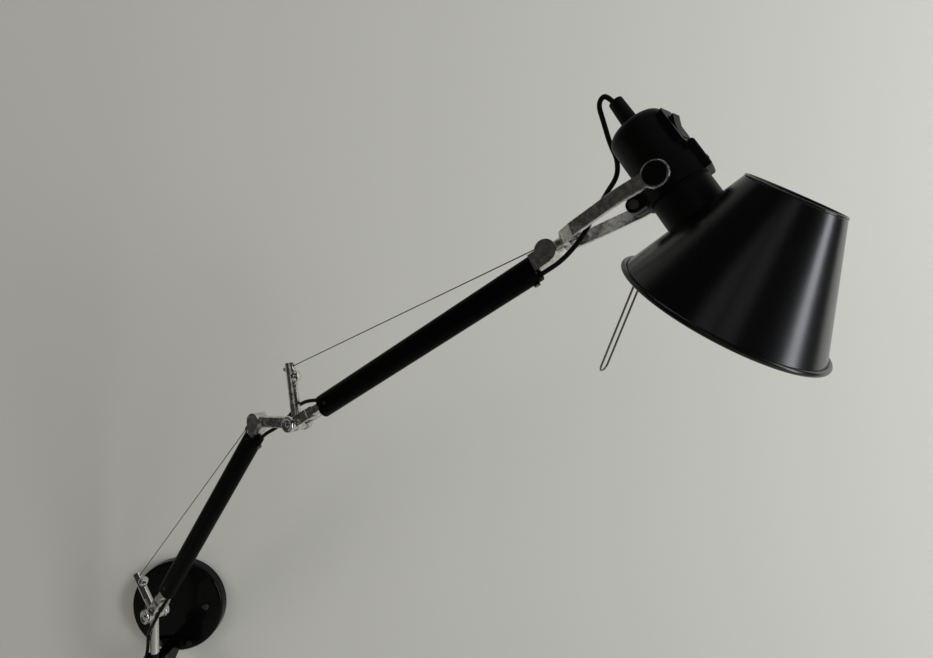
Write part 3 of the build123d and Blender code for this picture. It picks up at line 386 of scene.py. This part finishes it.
def wall_paint(name, colour, back_clear=False):
    """Plain rolled paint. Seen from behind, the wall lets the view through."""
    skin = Finish(name, Roughness=0.85, Specular_IOR_Level=0.2)
    cloud = skin.noise(1.1, 4.0, 0.5)
    nap = skin.noise(420.0, 3.0, 0.6)
    skin.feed(
        Base_Color=skin.blend(cloud, rgb(colour, 0.985), rgb(colour, 1.015)),
        Normal=skin.bump(nap, 0.00004),
    )
    if back_clear:
        clear = skin.node("ShaderNodeBsdfTransparent", {}, {})
        behind = skin.node("ShaderNodeNewGeometry", {}, {}, "Backfacing")
        painted = Flow(skin, skin.shader.outputs[0])
        mixed = skin.node("ShaderNodeMixShader", {}, {0: behind, 1: painted, 2: clear})
        out = next(n for n in skin.tree.nodes if n.type == "OUTPUT_MATERIAL")
        skin.tree.links.new(mixed.socket, out.inputs["Surface"])
    return skin.material


# Building

def dress(finish, *nodes, edge=0.0):
    """Gives CAD nodes their finish and, with edge, a small round on their sharp edges."""
    for node in nodes:
        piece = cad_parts[node]
        piece.data.materials.clear()
        piece.data.materials.append(finish)
        if edge:
            weld = piece.modifiers.new("joined_faces", "WELD")
            weld.merge_threshold = 0.002 * MM
            bevel = piece.modifiers.new("soft_edges", "BEVEL")
            bevel.width = edge * MM
            bevel.segments = 2
            bevel.limit_method = "ANGLE"
            bevel.angle_limit = radians(SHARP_ANGLE)
            bevel.miter_outer = "MITER_ARC"
            even = piece.modifiers.new("even_shading", "WEIGHTED_NORMAL")
            even.keep_sharp = False


def add_piece(name, mesh, finish, body, node):
    piece = bpy.data.objects.new(name, mesh)
    bpy.context.scene.collection.objects.link(piece)
    mesh.materials.append(finish)
    if body:
        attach(piece, body)
    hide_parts(node)
    return piece


def shaded(mesh, angle=SHARP_ANGLE):
    """Smooth shading, apart from edges sharper than angle."""
    mesh.polygons.foreach_set("use_smooth", [True] * len(mesh.polygons))
    mesh.set_sharp_from_angle(angle=radians(angle))
    return mesh


def ring_mesh(name, rings):
    """Joins rings of equal length into a skin that is closed at both ends."""
    build = bmesh.new()
    rows = [[build.verts.new(point) for point in ring] for ring in rings]
    for near, far in zip(rows, rows[1:]):
        for i in range(len(near)):
            j = (i + 1) % len(near)
            build.faces.new((near[i], near[j], far[j], far[i]))
    build.faces.new(rows[0][::-1])
    build.faces.new(rows[-1])
    bmesh.ops.remove_doubles(build, verts=build.verts[:], dist=0.0000005)
    bmesh.ops.recalc_face_normals(build, faces=build.faces[:])
    mesh = bpy.data.meshes.new(name)
    build.to_mesh(mesh)
    build.free()
    return shaded(mesh)


def turned(name, where, profile, steps, flutes=0):
    """A piece turned about the x axis of where. Profile: place on it, radius, flute depth."""
    rings = []
    for x, radius, depth in profile:
        ring = []
        for i in range(steps):
            angle = 2 * pi * i / steps
            reach = radius - depth * (0.5 + 0.5 * cos(flutes * angle))
            ring.append(where @ (Vector((x, reach * cos(angle), reach * sin(angle))) * MM))
        rings.append(ring)
    return ring_mesh(name, rings)


def carried(points):
    """Points with a side vector each, carried along the line without twist."""
    out = []
    side = None
    for i, point in enumerate(points):
        ahead = (points[min(i + 1, len(points) - 1)] - points[max(i - 1, 0)]).normalized()
        if side is None:
            side = ahead.orthogonal().normalized()
        side = (side - ahead * side.dot(ahead)).normalized()
        out.append((point, side, ahead.cross(side)))
    return out


def spun(name, points, radius, lobes=0, lobe_depth=0.0, pitch=1.0, sides=12):
    """A round or lobed section carried along points; the lobes turn once in each pitch."""
    rings = []
    travelled = 0.0
    before = points[0]
    for point, side, other in carried(points):
        travelled += (point - before).length
        before = point
        spin = 2 * pi * travelled / pitch
        ring = []
        for i in range(sides):
            angle = 2 * pi * i / sides
            reach = radius - lobe_depth * (0.5 - 0.5 * cos(lobes * angle))
            out, up = reach * cos(angle + spin), reach * sin(angle + spin)
            ring.append(point + side * out + other * up)
        rings.append(ring)
    return ring_mesh(name, rings)


def smooth_line(name, points, resolution):
    """A smooth curve object on its control points."""
    data = bpy.data.curves.new(name, "CURVE")
    data.dimensions = "3D"
    line = data.splines.new("NURBS")
    line.points.add(len(points) - 1)
    for spot, point in zip(line.points, points):
        spot.co = (*point, 1)
    line.order_u = 3
    line.use_endpoint_u = True
    line.resolution_u = resolution
    piece = bpy.data.objects.new(name, data)
    bpy.context.scene.collection.objects.link(piece)
    return piece


def as_mesh(curve):
    """The curve object's shape as a mesh. The curve is removed."""
    bpy.context.view_layer.update()
    shape = curve.evaluated_get(bpy.context.evaluated_depsgraph_get())
    mesh = bpy.data.meshes.new_from_object(shape)
    bpy.data.objects.remove(curve)
    return mesh


def read_line(name, points, resolution):
    """The points that a smooth curve passes, in order."""
    mesh = as_mesh(smooth_line(name, points, resolution))
    passed = [vertex.co.copy() for vertex in mesh.vertices]
    bpy.data.meshes.remove(mesh)
    return passed


def cord_run(name, points, diameter, finish, node, body=None):
    """A round cord on its control points, as a mesh."""
    line = smooth_line(name, points, 12)
    line.data.bevel_depth = diameter / 2
    line.data.bevel_resolution = 5
    line.data.use_fill_caps = True
    mesh = as_mesh(line)
    mesh.materials.clear()
    return add_piece(name, shaded(mesh, 60), finish, body, node)


class LampSizes(bpy.types.PropertyGroup):
    cord_diameter: FloatProperty(
        name="Cord diameter", description="Outside diameter of the mains cord",
        default=0.0032, min=0.002, max=0.005, unit="LENGTH")
    cable_diameter: FloatProperty(
        name="Cable diameter", description="Diameter of the steel balance cables",
        default=0.0009, min=0.0005, max=0.0015, unit="LENGTH")
    spring_wire: FloatProperty(
        name="Spring wire", description="Wire diameter of the balance springs",
        default=0.0012, min=0.0008, max=0.0016, unit="LENGTH")


class LampColours(bpy.types.PropertyGroup):
    enamel: FloatVectorProperty(
        name="Black enamel", description="Wall plate, bracket and stop collar",
        default=(0.0016, 0.0016, 0.0016), subtype="COLOR", min=0, max=1)
    tube: FloatVectorProperty(
        name="Arm tubes", description="Satin black of the two arms",
        default=(0.0013, 0.0013, 0.0012), subtype="COLOR", min=0, max=1)
    shade: FloatVectorProperty(
        name="Shade outside", description="Semi-gloss enamel of the shade",
        default=(0.0014, 0.0015, 0.0017), subtype="COLOR", min=0, max=1)
    shade_inside: FloatVectorProperty(
        name="Shade inside", description="Matt white inside the shade",
        default=(0.78, 0.77, 0.74), subtype="COLOR", min=0, max=1)
    aluminium: FloatVectorProperty(
        name="Aluminium", description="Clevises, end caps, elbow link and fork",
        default=(0.74, 0.725, 0.695), subtype="COLOR", min=0, max=1)
    chrome: FloatVectorProperty(
        name="Chrome", description="Upright rod, levers, knobs and screws",
        default=(0.68, 0.675, 0.66), subtype="COLOR", min=0, max=1)
    plastic: FloatVectorProperty(
        name="Black plastic", description="Housing, switch and tilt collar",
        default=(0.0018, 0.0018, 0.0017), subtype="COLOR", min=0, max=1)
    cord: FloatVectorProperty(
        name="Cord", description="Sheath of the mains cord",
        default=(0.0034, 0.003, 0.0026), subtype="COLOR", min=0, max=1)
    wall: FloatVectorProperty(
        name="Wall", description="Paint of the wall behind the lamp",
        default=(0.62, 0.612, 0.578), subtype="COLOR", min=0, max=1)


class LampStep:
    """What the steps share: the sizes, the colours and one finish of each kind."""

    bl_options = {"REGISTER"}

    def finish(self, name):
        if name not in FINISHES:
            colours = bpy.context.scene.lamp_colours
            makers = {
                "gloss_enamel": lambda: enamel(name, colours.enamel),
                "lower_tube_black": lambda: drawn_tube(name, colours.tube, ARM1),
                "upper_tube_black": lambda: drawn_tube(name, colours.tube, ARM2),
                "shade_enamel": lambda: shade_enamel(name, colours.shade, colours.shade_inside),
                "lower_aluminium": lambda: cast_metal(name, colours.aluminium, ARM1, 0.24),
                "upper_aluminium": lambda: cast_metal(name, colours.aluminium, ARM2, 0.24),
                "fork_aluminium": lambda: cast_metal(name, rgb(colours.aluminium, 0.92), FORK, 0.27),
                "chrome_plate": lambda: plated(name, colours.chrome, 0.055),
                "zinc_plate": lambda: plated(name, (0.5, 0.5, 0.49), 0.3, 0.2),
                "steel_wire": lambda: plated(name, (0.24, 0.23, 0.215), 0.24, 0.1),
                "turned_brass": lambda: plated(name, (0.6, 0.45, 0.2), 0.22, 0.15),
                "blackened_steel": lambda: plated(name, (0.09, 0.088, 0.085), 0.3, 0.1),
                "handle_wire": lambda: plated(name, (0.22, 0.21, 0.195), 0.22, 0.1),
                "black_moulding": lambda: moulded(name, colours.plastic, 0.46),
                "cap_moulding": lambda: moulded(name, rgb(colours.plastic, 0.8), 0.34),
                "black_rubber": lambda: moulded(name, (0.0028, 0.0027, 0.0026), 0.6, 0.00003),
                "cord_sheath": lambda: moulded(name, colours.cord, 0.5, 0.00003, 1800.0),
                "nylon": lambda: moulded(name, (0.5, 0.49, 0.46), 0.45),
                "white_moulding": lambda: moulded(name, (0.7, 0.69, 0.65), 0.4),
                "opal_glass": lambda: opal(name),
            }
            FINISHES[name] = makers[name]()
        return FINISHES[name]


class LAMP_OT_wall_mount(LampStep, bpy.types.Operator):
    """Wall plate, bracket and what holds them to the wall"""
    bl_idname = "lamp.wall_mount"
    bl_label = "Wall mount"

    def execute(self, context):
        dress(self.finish("gloss_enamel"), "wall_plate")
        dress(self.finish("gloss_enamel"), "bracket", edge=0.5)
        dress(self.finish("zinc_plate"), "mounting_strip", edge=0.3)
        dress(self.finish("blackened_steel"), "plate_screws")
        dress(self.finish("blackened_steel"), "bracket_screws", edge=0.3)
        dress(self.finish("turned_brass"), "rod_bush")
        dress(self.finish("white_moulding"), "terminal_block", edge=0.3)
        return {"FINISHED"}


class LAMP_OT_upright(LampStep, bpy.types.Operator):
    """Upright rod with its lever, lever screw, stop collar and clip"""
    bl_idname = "lamp.upright"
    bl_label = "Upright rod"

    def execute(self, context):
        dress(self.finish("chrome_plate"), "stem_rod", edge=0.25)
        dress(self.finish("chrome_plate"), "stem_lever_screw")
        dress(self.finish("gloss_enamel"), "stem_collar", edge=0.3)
        dress(self.finish("zinc_plate"), "rod_clip")
        return {"FINISHED"}


class LAMP_OT_arms(LampStep, bpy.types.Operator):
    """Both arm tubes with their clevises, end caps, pins and screws"""
    bl_idname = "lamp.arms"
    bl_label = "Arms"

    def execute(self, context):
        for arm in ("lower", "upper"):
            dress(self.finish(arm + "_tube_black"), arm + "_tube", edge=0.35)
            dress(self.finish(arm + "_aluminium"), arm + "_clevis", arm + "_end_cap", edge=0.45)
            dress(self.finish("zinc_plate"), arm + "_axle", arm + "_wheel_pin")
            dress(self.finish("blackened_steel"), arm + "_cap_screw", arm + "_spring_anchor", edge=0.3)
            dress(self.finish("nylon"), arm + "_guide_wheel")
        return {"FINISHED"}


class LAMP_OT_elbow(LampStep, bpy.types.Operator):
    """Elbow link with the upper lever, its pin and screw"""
    bl_idname = "lamp.elbow"
    bl_label = "Elbow link"

    def execute(self, context):
        dress(self.finish("chrome_plate"), "elbow_lever_screw")
        dress(self.finish("upper_aluminium"), "elbow_link", edge=0.3)
        dress(self.finish("zinc_plate"), "elbow_link_pin")
        return {"FINISHED"}


class LAMP_OT_knobs(LampStep, bpy.types.Operator):
    """Fluted knobs on both pivots"""
    bl_idname = "lamp.knobs"
    bl_label = "Pivot knobs"

    # Place along the pin, radius and flute depth
    flutes = 12
    profile = (
        (6.95, 3.3, 0.0), (7.1, 3.3, 0.0), (7.1, 6.2, 0.0), (7.35, 6.8, 0.15), (7.7, 7.0, 0.35),
        (10.9, 7.0, 0.35), (11.4, 6.75, 0.3), (11.65, 6.2, 0.2), (11.7, 5.5, 0.1), (11.5, 5.0, 0.05),
        (11.1, 4.5, 0.5), (10.95, 3.6, 0.6), (10.95, 2.9, 0.3), (11.0, 2.4, 0.0), (11.35, 2.2, 0.0),
        (11.55, 1.7, 0.0), (11.68, 0.9, 0.0), (11.7, 0.05, 0.0),
    )

    def execute(self, context):
        for arm, where in (("lower", ARM1), ("upper", ARM2)):
            for side, angle in (("near", -90), ("far", 90)):
                name = "%s_%s_knob" % (arm, side)
                mesh = turned(name, where @ turn(angle, "Z"), self.profile, 96, self.flutes)
                chrome = self.finish("chrome_plate")
                add_piece(name, mesh, chrome, arm + "_arm", arm + "_pivot_knobs")
        return {"FINISHED"}


class LAMP_OT_cables(LampStep, bpy.types.Operator):
    """Steel cables from the lever tips over the guide wheels to the springs"""
    bl_idname = "lamp.cables"
    bl_label = "Balance cables"

    # Arm, its frame, its lever's point, the body that holds the lever and the arm's own body
    arms = (
        ("lower", ARM1, LOWER_POINT, "stem", "lower_arm"),
        ("upper", ARM2, UPPER_POINT, "lower_arm", "upper_arm"),
    )

    def execute(self, context):
        thick = context.scene.lamp_sizes.cable_diameter
        wire = self.finish("steel_wire")

        def twisted(name, line):
            """A cable of six strands that go round once in seven diameters."""
            depth, lay = thick * 0.11, thick * 7
            return spun(name, line, thick / 2, lobes=6, lobe_depth=depth, pitch=lay, sides=24)

        for arm, where, lever, held, arm_body in self.arms:
            reach = hypot(ARM_REACH - lever[0], GUIDE_RISE - lever[1])
            slope = degrees(atan2(GUIDE_RISE - lever[1], ARM_REACH - lever[0]))
            slope += degrees(acos(sqrt(reach ** 2 - WHEEL_GROOVE ** 2) / reach))
            way = along(1, slope)
            touch = (ARM_REACH - WHEEL_GROOVE * way[1], GUIDE_RISE + WHEEL_GROOVE * way[0])
            back = (lever[0] - CABLE_BACK * way[0], lever[1] - CABLE_BACK * way[1])
            start, end = at(where, (back[0], 0, back[1]), (touch[0], 0, touch[1]))
            # The straight run, from behind the lever's point to where it touches the wheel.
            steps = 420
            run = [start.lerp(end, i / steps) for i in range(steps + 1)]
            name = arm + "_cable_run"
            piece = add_piece(name, twisted(name, run), wire, None, arm + "_cable")
            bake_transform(piece)
            ahead = ARM_REACH + WHEEL_GROOVE
            round_wheel = at(
                where,
                (touch[0], 0, touch[1]),
                (touch[0] + 3.2 * way[0], 0, touch[1] + 3.2 * way[1]),
                (ahead, 0, GUIDE_RISE + 3.4),
                (ahead, 0, GUIDE_RISE - 3.4),
                (ARM_REACH + 3.0, 0, CABLE_LOW),
                (ARM_REACH - 3.0, 0, CABLE_LOW),
                (TANG_END, 0, CABLE_LOW),
            )
            name = arm + "_cable_return"
            mesh = twisted(name, read_line(name, round_wheel, 40))
            add_piece(name, mesh, wire, arm_body, arm + "_cable")
            name = arm + "_cable_nipple"
            seat = where @ place(back[0], 0, back[1]) @ turn(-slope, "Y")
            ball = []
            for angle in range(-88, 90, 11):
                ball.append((NIPPLE_R * sin(radians(angle)), NIPPLE_R * cos(radians(angle)), 0.0))
            mesh = turned(name, seat, ball, 32)
            add_piece(name, mesh, self.finish("zinc_plate"), held, arm + "_cable")
        return {"FINISHED"}


class LAMP_OT_springs(LampStep, bpy.types.Operator):
    """Close-wound balance springs inside the arm tubes, with a hook at each end"""
    bl_idname = "lamp.springs"
    bl_label = "Balance springs"

    def execute(self, context):
        wire = context.scene.lamp_sizes.spring_wire
        mean = SPRING_R - wire / MM / 2
        pitch, sides = 1.12, 14  # In wire diameters; points in each turn
        turns = int((SPRING_END - SPRING_START) * MM / (wire * pitch))
        for arm, where in (("lower", ARM1), ("upper", ARM2)):
            line = [(SPRING_ANCHOR, 0, 0), (60, 0, 0), (SPRING_START - 2, 0, 0.6)]
            for i in range(turns * sides + 1):
                angle = 2 * pi * i / sides
                share = i / (turns * sides)
                x = SPRING_START + 1 + (SPRING_END - SPRING_START - 2) * share
                line.append((x, mean * sin(angle), SPRING_RISE - mean * cos(angle)))
            line += [(SPRING_END + 1.5, 0, CABLE_LOW), (TANG_END - 0.4, 0, CABLE_LOW)]
            name = arm + "_coil_spring"
            mesh = spun(name, at(where, *line), wire / 2, sides=6)
            zinc = self.finish("zinc_plate")
            add_piece(name, mesh, zinc, arm + "_arm", arm + "_spring")
        return {"FINISHED"}


class LAMP_OT_fork(LampStep, bpy.types.Operator):
    """Fork that carries the head, with its bolt and washer"""
    bl_idname = "lamp.fork"
    bl_label = "Fork"

    def execute(self, context):
        dress(self.finish("fork_aluminium"), "fork", edge=0.5)
        dress(self.finish("zinc_plate"), "fork_bolt", "fork_washer", edge=0.2)
        return {"FINISHED"}


class LAMP_OT_tilt_collar(LampStep, bpy.types.Operator):
    """Collar round the housing with its clamp screw, set screw and caps"""
    bl_idname = "lamp.tilt_collar"
    bl_label = "Tilt collar"

    def execute(self, context):
        dress(self.finish("black_moulding"), "tilt_collar", edge=0.4)
        dress(self.finish("cap_moulding"), "tilt_caps")
        dress(self.finish("blackened_steel"), "clamp_screw", "collar_set_screw", edge=0.25)
        return {"FINISHED"}


class LAMP_OT_socket_housing(LampStep, bpy.types.Operator):
    """Socket housing with the gland, the switch and its rocker"""
    bl_idname = "lamp.socket_housing"
    bl_label = "Socket housing"

    def execute(self, context):
        dress(self.finish("black_moulding"), "socket_housing")
        dress(self.finish("black_moulding"), "switch_body", "switch_rocker", edge=0.35)
        dress(self.finish("black_rubber"), "cord_gland", edge=0.3)
        dress(self.finish("zinc_plate"), "rocker_pin")
        dress(self.finish("white_moulding"), "lamp_holder", edge=0.3)
        dress(self.finish("black_moulding"), "shade_ring", edge=0.3)
        return {"FINISHED"}


class LAMP_OT_bulb(LampStep, bpy.types.Operator):
    """Opal bulb with its screw cap"""
    bl_idname = "lamp.bulb"
    bl_label = "Bulb"

    ball_x, ball_r = 80.5, 22.5
    neck = ((44.6, 6.6), (45.2, 8.4), (47.0, 9.7), (51.0, 10.9), (56.0, 12.9))
    contact = ((25.0, 0.3), (25.2, 2.4), (26.6, 3.4), (27.6, 6.2))
    collar = ((43.8, 6.9), (45.4, 6.9), (45.4, 6.0))
    thread_x, thread_step, thread_r, thread_depth, thread_rings = 28.6, 0.8, 6.7, 0.45, 19

    def part(self, name, line, steps, finish, material_slot):
        mesh = turned(name, HOUSE, [(x, radius, 0.0) for x, radius in line], steps)
        return add_piece(name, mesh, self.finish(finish), "head", "bulb")

    def execute(self, context):
        glass = list(self.neck)
        for angle in range(140, -1, -7):
            radius = self.ball_r * sin(radians(angle))
            glass.append((self.ball_x + self.ball_r * cos(radians(angle)), max(0.05, radius)))
        piece = self.part("bulb_glass", glass, 72, "opal_glass", "opal_glass")
        piece.modifiers.new("round_glass", "SUBSURF").render_levels = 1
        cap = list(self.contact)
        for i in range(self.thread_rings):
            radius = self.thread_r - self.thread_depth * (i % 2)
            cap.append((self.thread_x + i * self.thread_step, radius))
        self.part("bulb_cap", cap + list(self.collar), 48, "zinc_plate", "zinc_steel")
        return {"FINISHED"}


class LAMP_OT_shade(LampStep, bpy.types.Operator):
    """Conical shade and its wire handle"""
    bl_idname = "lamp.shade"
    bl_label = "Shade and handle"

    def execute(self, context):
        dress(self.finish("shade_enamel"), "shade")
        dress(self.finish("handle_wire"), "shade_handle")
        return {"FINISHED"}


class LAMP_OT_cord(LampStep, bpy.types.Operator):
    """Mains cord from the terminal block through both arms to the housing"""
    bl_idname = "lamp.cord"
    bl_label = "Mains cord"

    def execute(self, context):
        thick = context.scene.lamp_sizes.cord_diameter
        sheath = self.finish("cord_sheath")
        wall = Matrix.Identity(4)
        from_wall = at(
            wall, (-7, -5.5, -5), (-8.6, -5.5, -38), (-8.6, -9, -38), (-8.6, -22, -38),
            (-10.4, -42, -50), (-10.65, -51.9, -48.5))
        cord_run("wall_cord", from_wall, thick, sheath, "cord_wall", "wall")
        up_stem = at(wall, (-10.65, -51.9, -48.5), (-10.9, -61.8, -47))
        up_stem += at(SWING, (-3.2, -5.3, -22), (-3.2, -5.3, -14))
        piece = cord_run("stem_cord", up_stem, thick, sheath, "cord_stem")
        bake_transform(piece)
        shoulder = at(
            SWING, (-3.2, -5.3, -14), (-3.2, -5.3, -7), (3.5, -8.2, 1), (12, -9.2, 10),
            (20.5, -7.6, 25))
        shoulder += at(ARM1, (31, 0, LANE), (46, 0, LANE), LANE_END)
        piece = cord_run("shoulder_cord", shoulder, thick, sheath, "cord_lower")
        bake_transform(piece)
        elbow = at(ARM1, LANE_END, TUBE_MOUTH)
        elbow += at(
            ARM2, (-27, 7.2, 8.3), (0, 8.8, 15.8), (15, 5, 13.2), (34, 0, 5.6), (49, 0, 5.6),
            (61, 3.1, 0), (76, 0, LANE), (92, 0, LANE), LANE_END)
        piece = cord_run("elbow_cord", elbow, thick, sheath, "cord_upper")
        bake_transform(piece)
        wrist = at(ARM2, LANE_END, TUBE_MOUTH)
        wrist += at(FORK, (7, -6, -11.8), (24, -7.5, -6.2), (37, -3.5, 4.5), (43, -1.2, 9.5))
        piece = cord_run("wrist_cord", wrist, thick, sheath, "cord_wrist")
        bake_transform(piece)
        rise = at(FORK, (43, -1.2, 9.5), (49, 1.1, 14.5))
        rise += at(HEAD, (-25, 8.6, -19.6), (-29, 8.9, -17))
        piece = cord_run("tilt_cord", rise, thick, sheath, "cord_tilt")
        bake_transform(piece)
        loop = at(
            HEAD, (-29, 8.9, -17), (-34.2, 9.29, -13.62), (-45, 8.8, -12.2), (-58, 5, -7.6),
            (-69.5, 1, -3.6), (-69, 0, 4.8), (-40, 0, 4.8))
        piece = cord_run("gland_cord", loop, thick, sheath, "cord_head")
        turning = at(HEAD, (-50, 8.9, -15), (-50, 2, -4))
        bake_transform(piece)
        return {"FINISHED"}


class LAMP_OT_stage(LampStep, bpy.types.Operator):
    """Painted wall, pale floor, soft lights and the camera"""
    bl_idname = "lamp.stage"
    bl_label = "Stage"

    # In metres. Lights: name, place, aim, size, watts, tint, seen in reflections
    centre = (0.4, -0.25, 0.28)
    cold, cool = (0.96, 1.0, 1.06), (1.0, 1.01, 1.0)
    plain, warm = (1.0, 1.0, 1.0), (1.0, 0.97, 0.9)
    lights = (
        ("key_strip", (1.84, -1.0, 0.2), (0.485, -0.371, 0.3), (0.32, 1.4), 11.5, cold, True),
        ("left_pane", (-0.28, -2.55, 0.95), centre, (0.6, 1.5), 1.2, plain, True),
        ("right_pane", (0.5, -2.65, 0.95), centre, (0.6, 1.5), 1.2, plain, True),
        ("top_strip", (0.6, -0.6, 1.9), (0.5, -0.3, 0.3), (1.4, 0.3), 1.5, plain, True),
        ("side_fill", (2.1, -1.2, 0.8), (0.4, -0.1, 0.25), (1.0, 1.4), 25.6, cool, False),
        ("left_fill", (-1.4, -1.6, 0.9), (0.2, -0.1, 0.2), (1.2, 1.4), 11.5, warm, False),
    )
    # The photo's width and its camera's focal length, in pixels
    photo_width, photo_focal = 933, 563
    camera_at = (0.3216, -0.6373, 0.3079)

    def panel(self, name, corners, finish):
        """A flat piece of the room, which isn't part of the lamp."""
        mesh = bpy.data.meshes.new(name)
        mesh.from_pydata(corners, [], [(0, 1, 2, 3)])
        mesh.materials.append(finish)
        piece = bpy.data.objects.new(name, mesh)
        bpy.context.scene.collection.objects.link(piece)

    def soft_light(self, name, spot, aim, size, power, tint, mirrored):
        data = bpy.data.lights.new(name, "AREA")
        data.shape = "RECTANGLE"
        data.size, data.size_y = size
        data.energy = power
        data.color = tint
        light = bpy.data.objects.new(name, data)
        light.location = spot
        light.rotation_euler = (Vector(aim) - Vector(spot)).to_track_quat("-Z", "Y").to_euler()
        light.visible_glossy = mirrored
        bpy.context.scene.collection.objects.link(light)

    def execute(self, context):
        scene = context.scene
        wall = scene.lamp_colours.wall
        left, right, front, back, floor, top = -3, 4, -5, 3, -0.9, 3.2
        behind = 0.0004  # Clear of the wall plate's back
        self.panel(
            "studio_wall",
            [(left, behind, floor), (right, behind, floor), (right, behind, top), (left, behind, top)],
            wall_paint("wall_paint", wall, True))
        self.panel(
            "studio_floor",
            [(left, front, floor), (right, front, floor), (right, back, floor), (left, back, floor)],
            wall_paint("floor_paint", rgb(wall, 1.05)))
        for light in self.lights:
            self.soft_light(*light)
        scene.world = bpy.data.worlds.new("room")
        scene.world.use_nodes = True
        glow = next(n for n in scene.world.node_tree.nodes if n.type == "BACKGROUND")
        glow.inputs["Color"].default_value = (1.0, 0.975, 0.93, 1)
        glow.inputs["Strength"].default_value = 0.035
        data = bpy.data.cameras.new("photo_camera")
        data.sensor_fit = "HORIZONTAL"
        data.sensor_width = 36.0
        data.lens = self.photo_focal / self.photo_width * data.sensor_width
        data.clip_start = 0.01
        data.clip_end = 30.0
        camera = bpy.data.objects.new("photo_camera", data)
        camera.location = self.camera_at
        camera.rotation_euler = (radians(90), 0, 0)
        scene.collection.objects.link(camera)
        scene.camera = camera
        scene.view_settings.view_transform = "Standard"
        return {"FINISHED"}


STEPS = (
    LAMP_OT_cord,
    LAMP_OT_wall_mount,
    LAMP_OT_upright,
    LAMP_OT_arms,
    LAMP_OT_elbow,
    LAMP_OT_knobs,
    LAMP_OT_cables,
    LAMP_OT_springs,
    LAMP_OT_fork,
    LAMP_OT_tilt_collar,
    LAMP_OT_socket_housing,
    LAMP_OT_bulb,
    LAMP_OT_shade,
    LAMP_OT_stage,
)


class LAMP_PT_panel(bpy.types.Panel):
    """Lists the lamp's sizes, colours and building steps"""
    bl_idname = "LAMP_PT_panel"
    bl_label = "Wall lamp"
    bl_space_type = "VIEW_3D"
    bl_region_type = "UI"
    bl_category = "Wall lamp"

    def draw(self, context):
        layout = self.layout
        for group in (context.scene.lamp_sizes, context.scene.lamp_colours):
            box = layout.box()
            for name in group.__annotations__:
                box.prop(group, name)
        for step in STEPS:
            layout.operator(step.bl_idname)


def register():
    for made in (LampSizes, LampColours, *STEPS, LAMP_PT_panel):
        bpy.utils.register_class(made)
    bpy.types.Scene.lamp_sizes = PointerProperty(type=LampSizes)
    bpy.types.Scene.lamp_colours = PointerProperty(type=LampColours)


def unregister():
    del bpy.types.Scene.lamp_colours
    del bpy.types.Scene.lamp_sizes
    for made in (LAMP_PT_panel, *reversed(STEPS), LampColours, LampSizes):
        bpy.utils.unregister_class(made)


def main():
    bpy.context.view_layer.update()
    register()
    for step in STEPS:
        group, name = step.bl_idname.split(".")
        getattr(getattr(bpy.ops, group), name)()


if __name__ == "__main__":
    main()
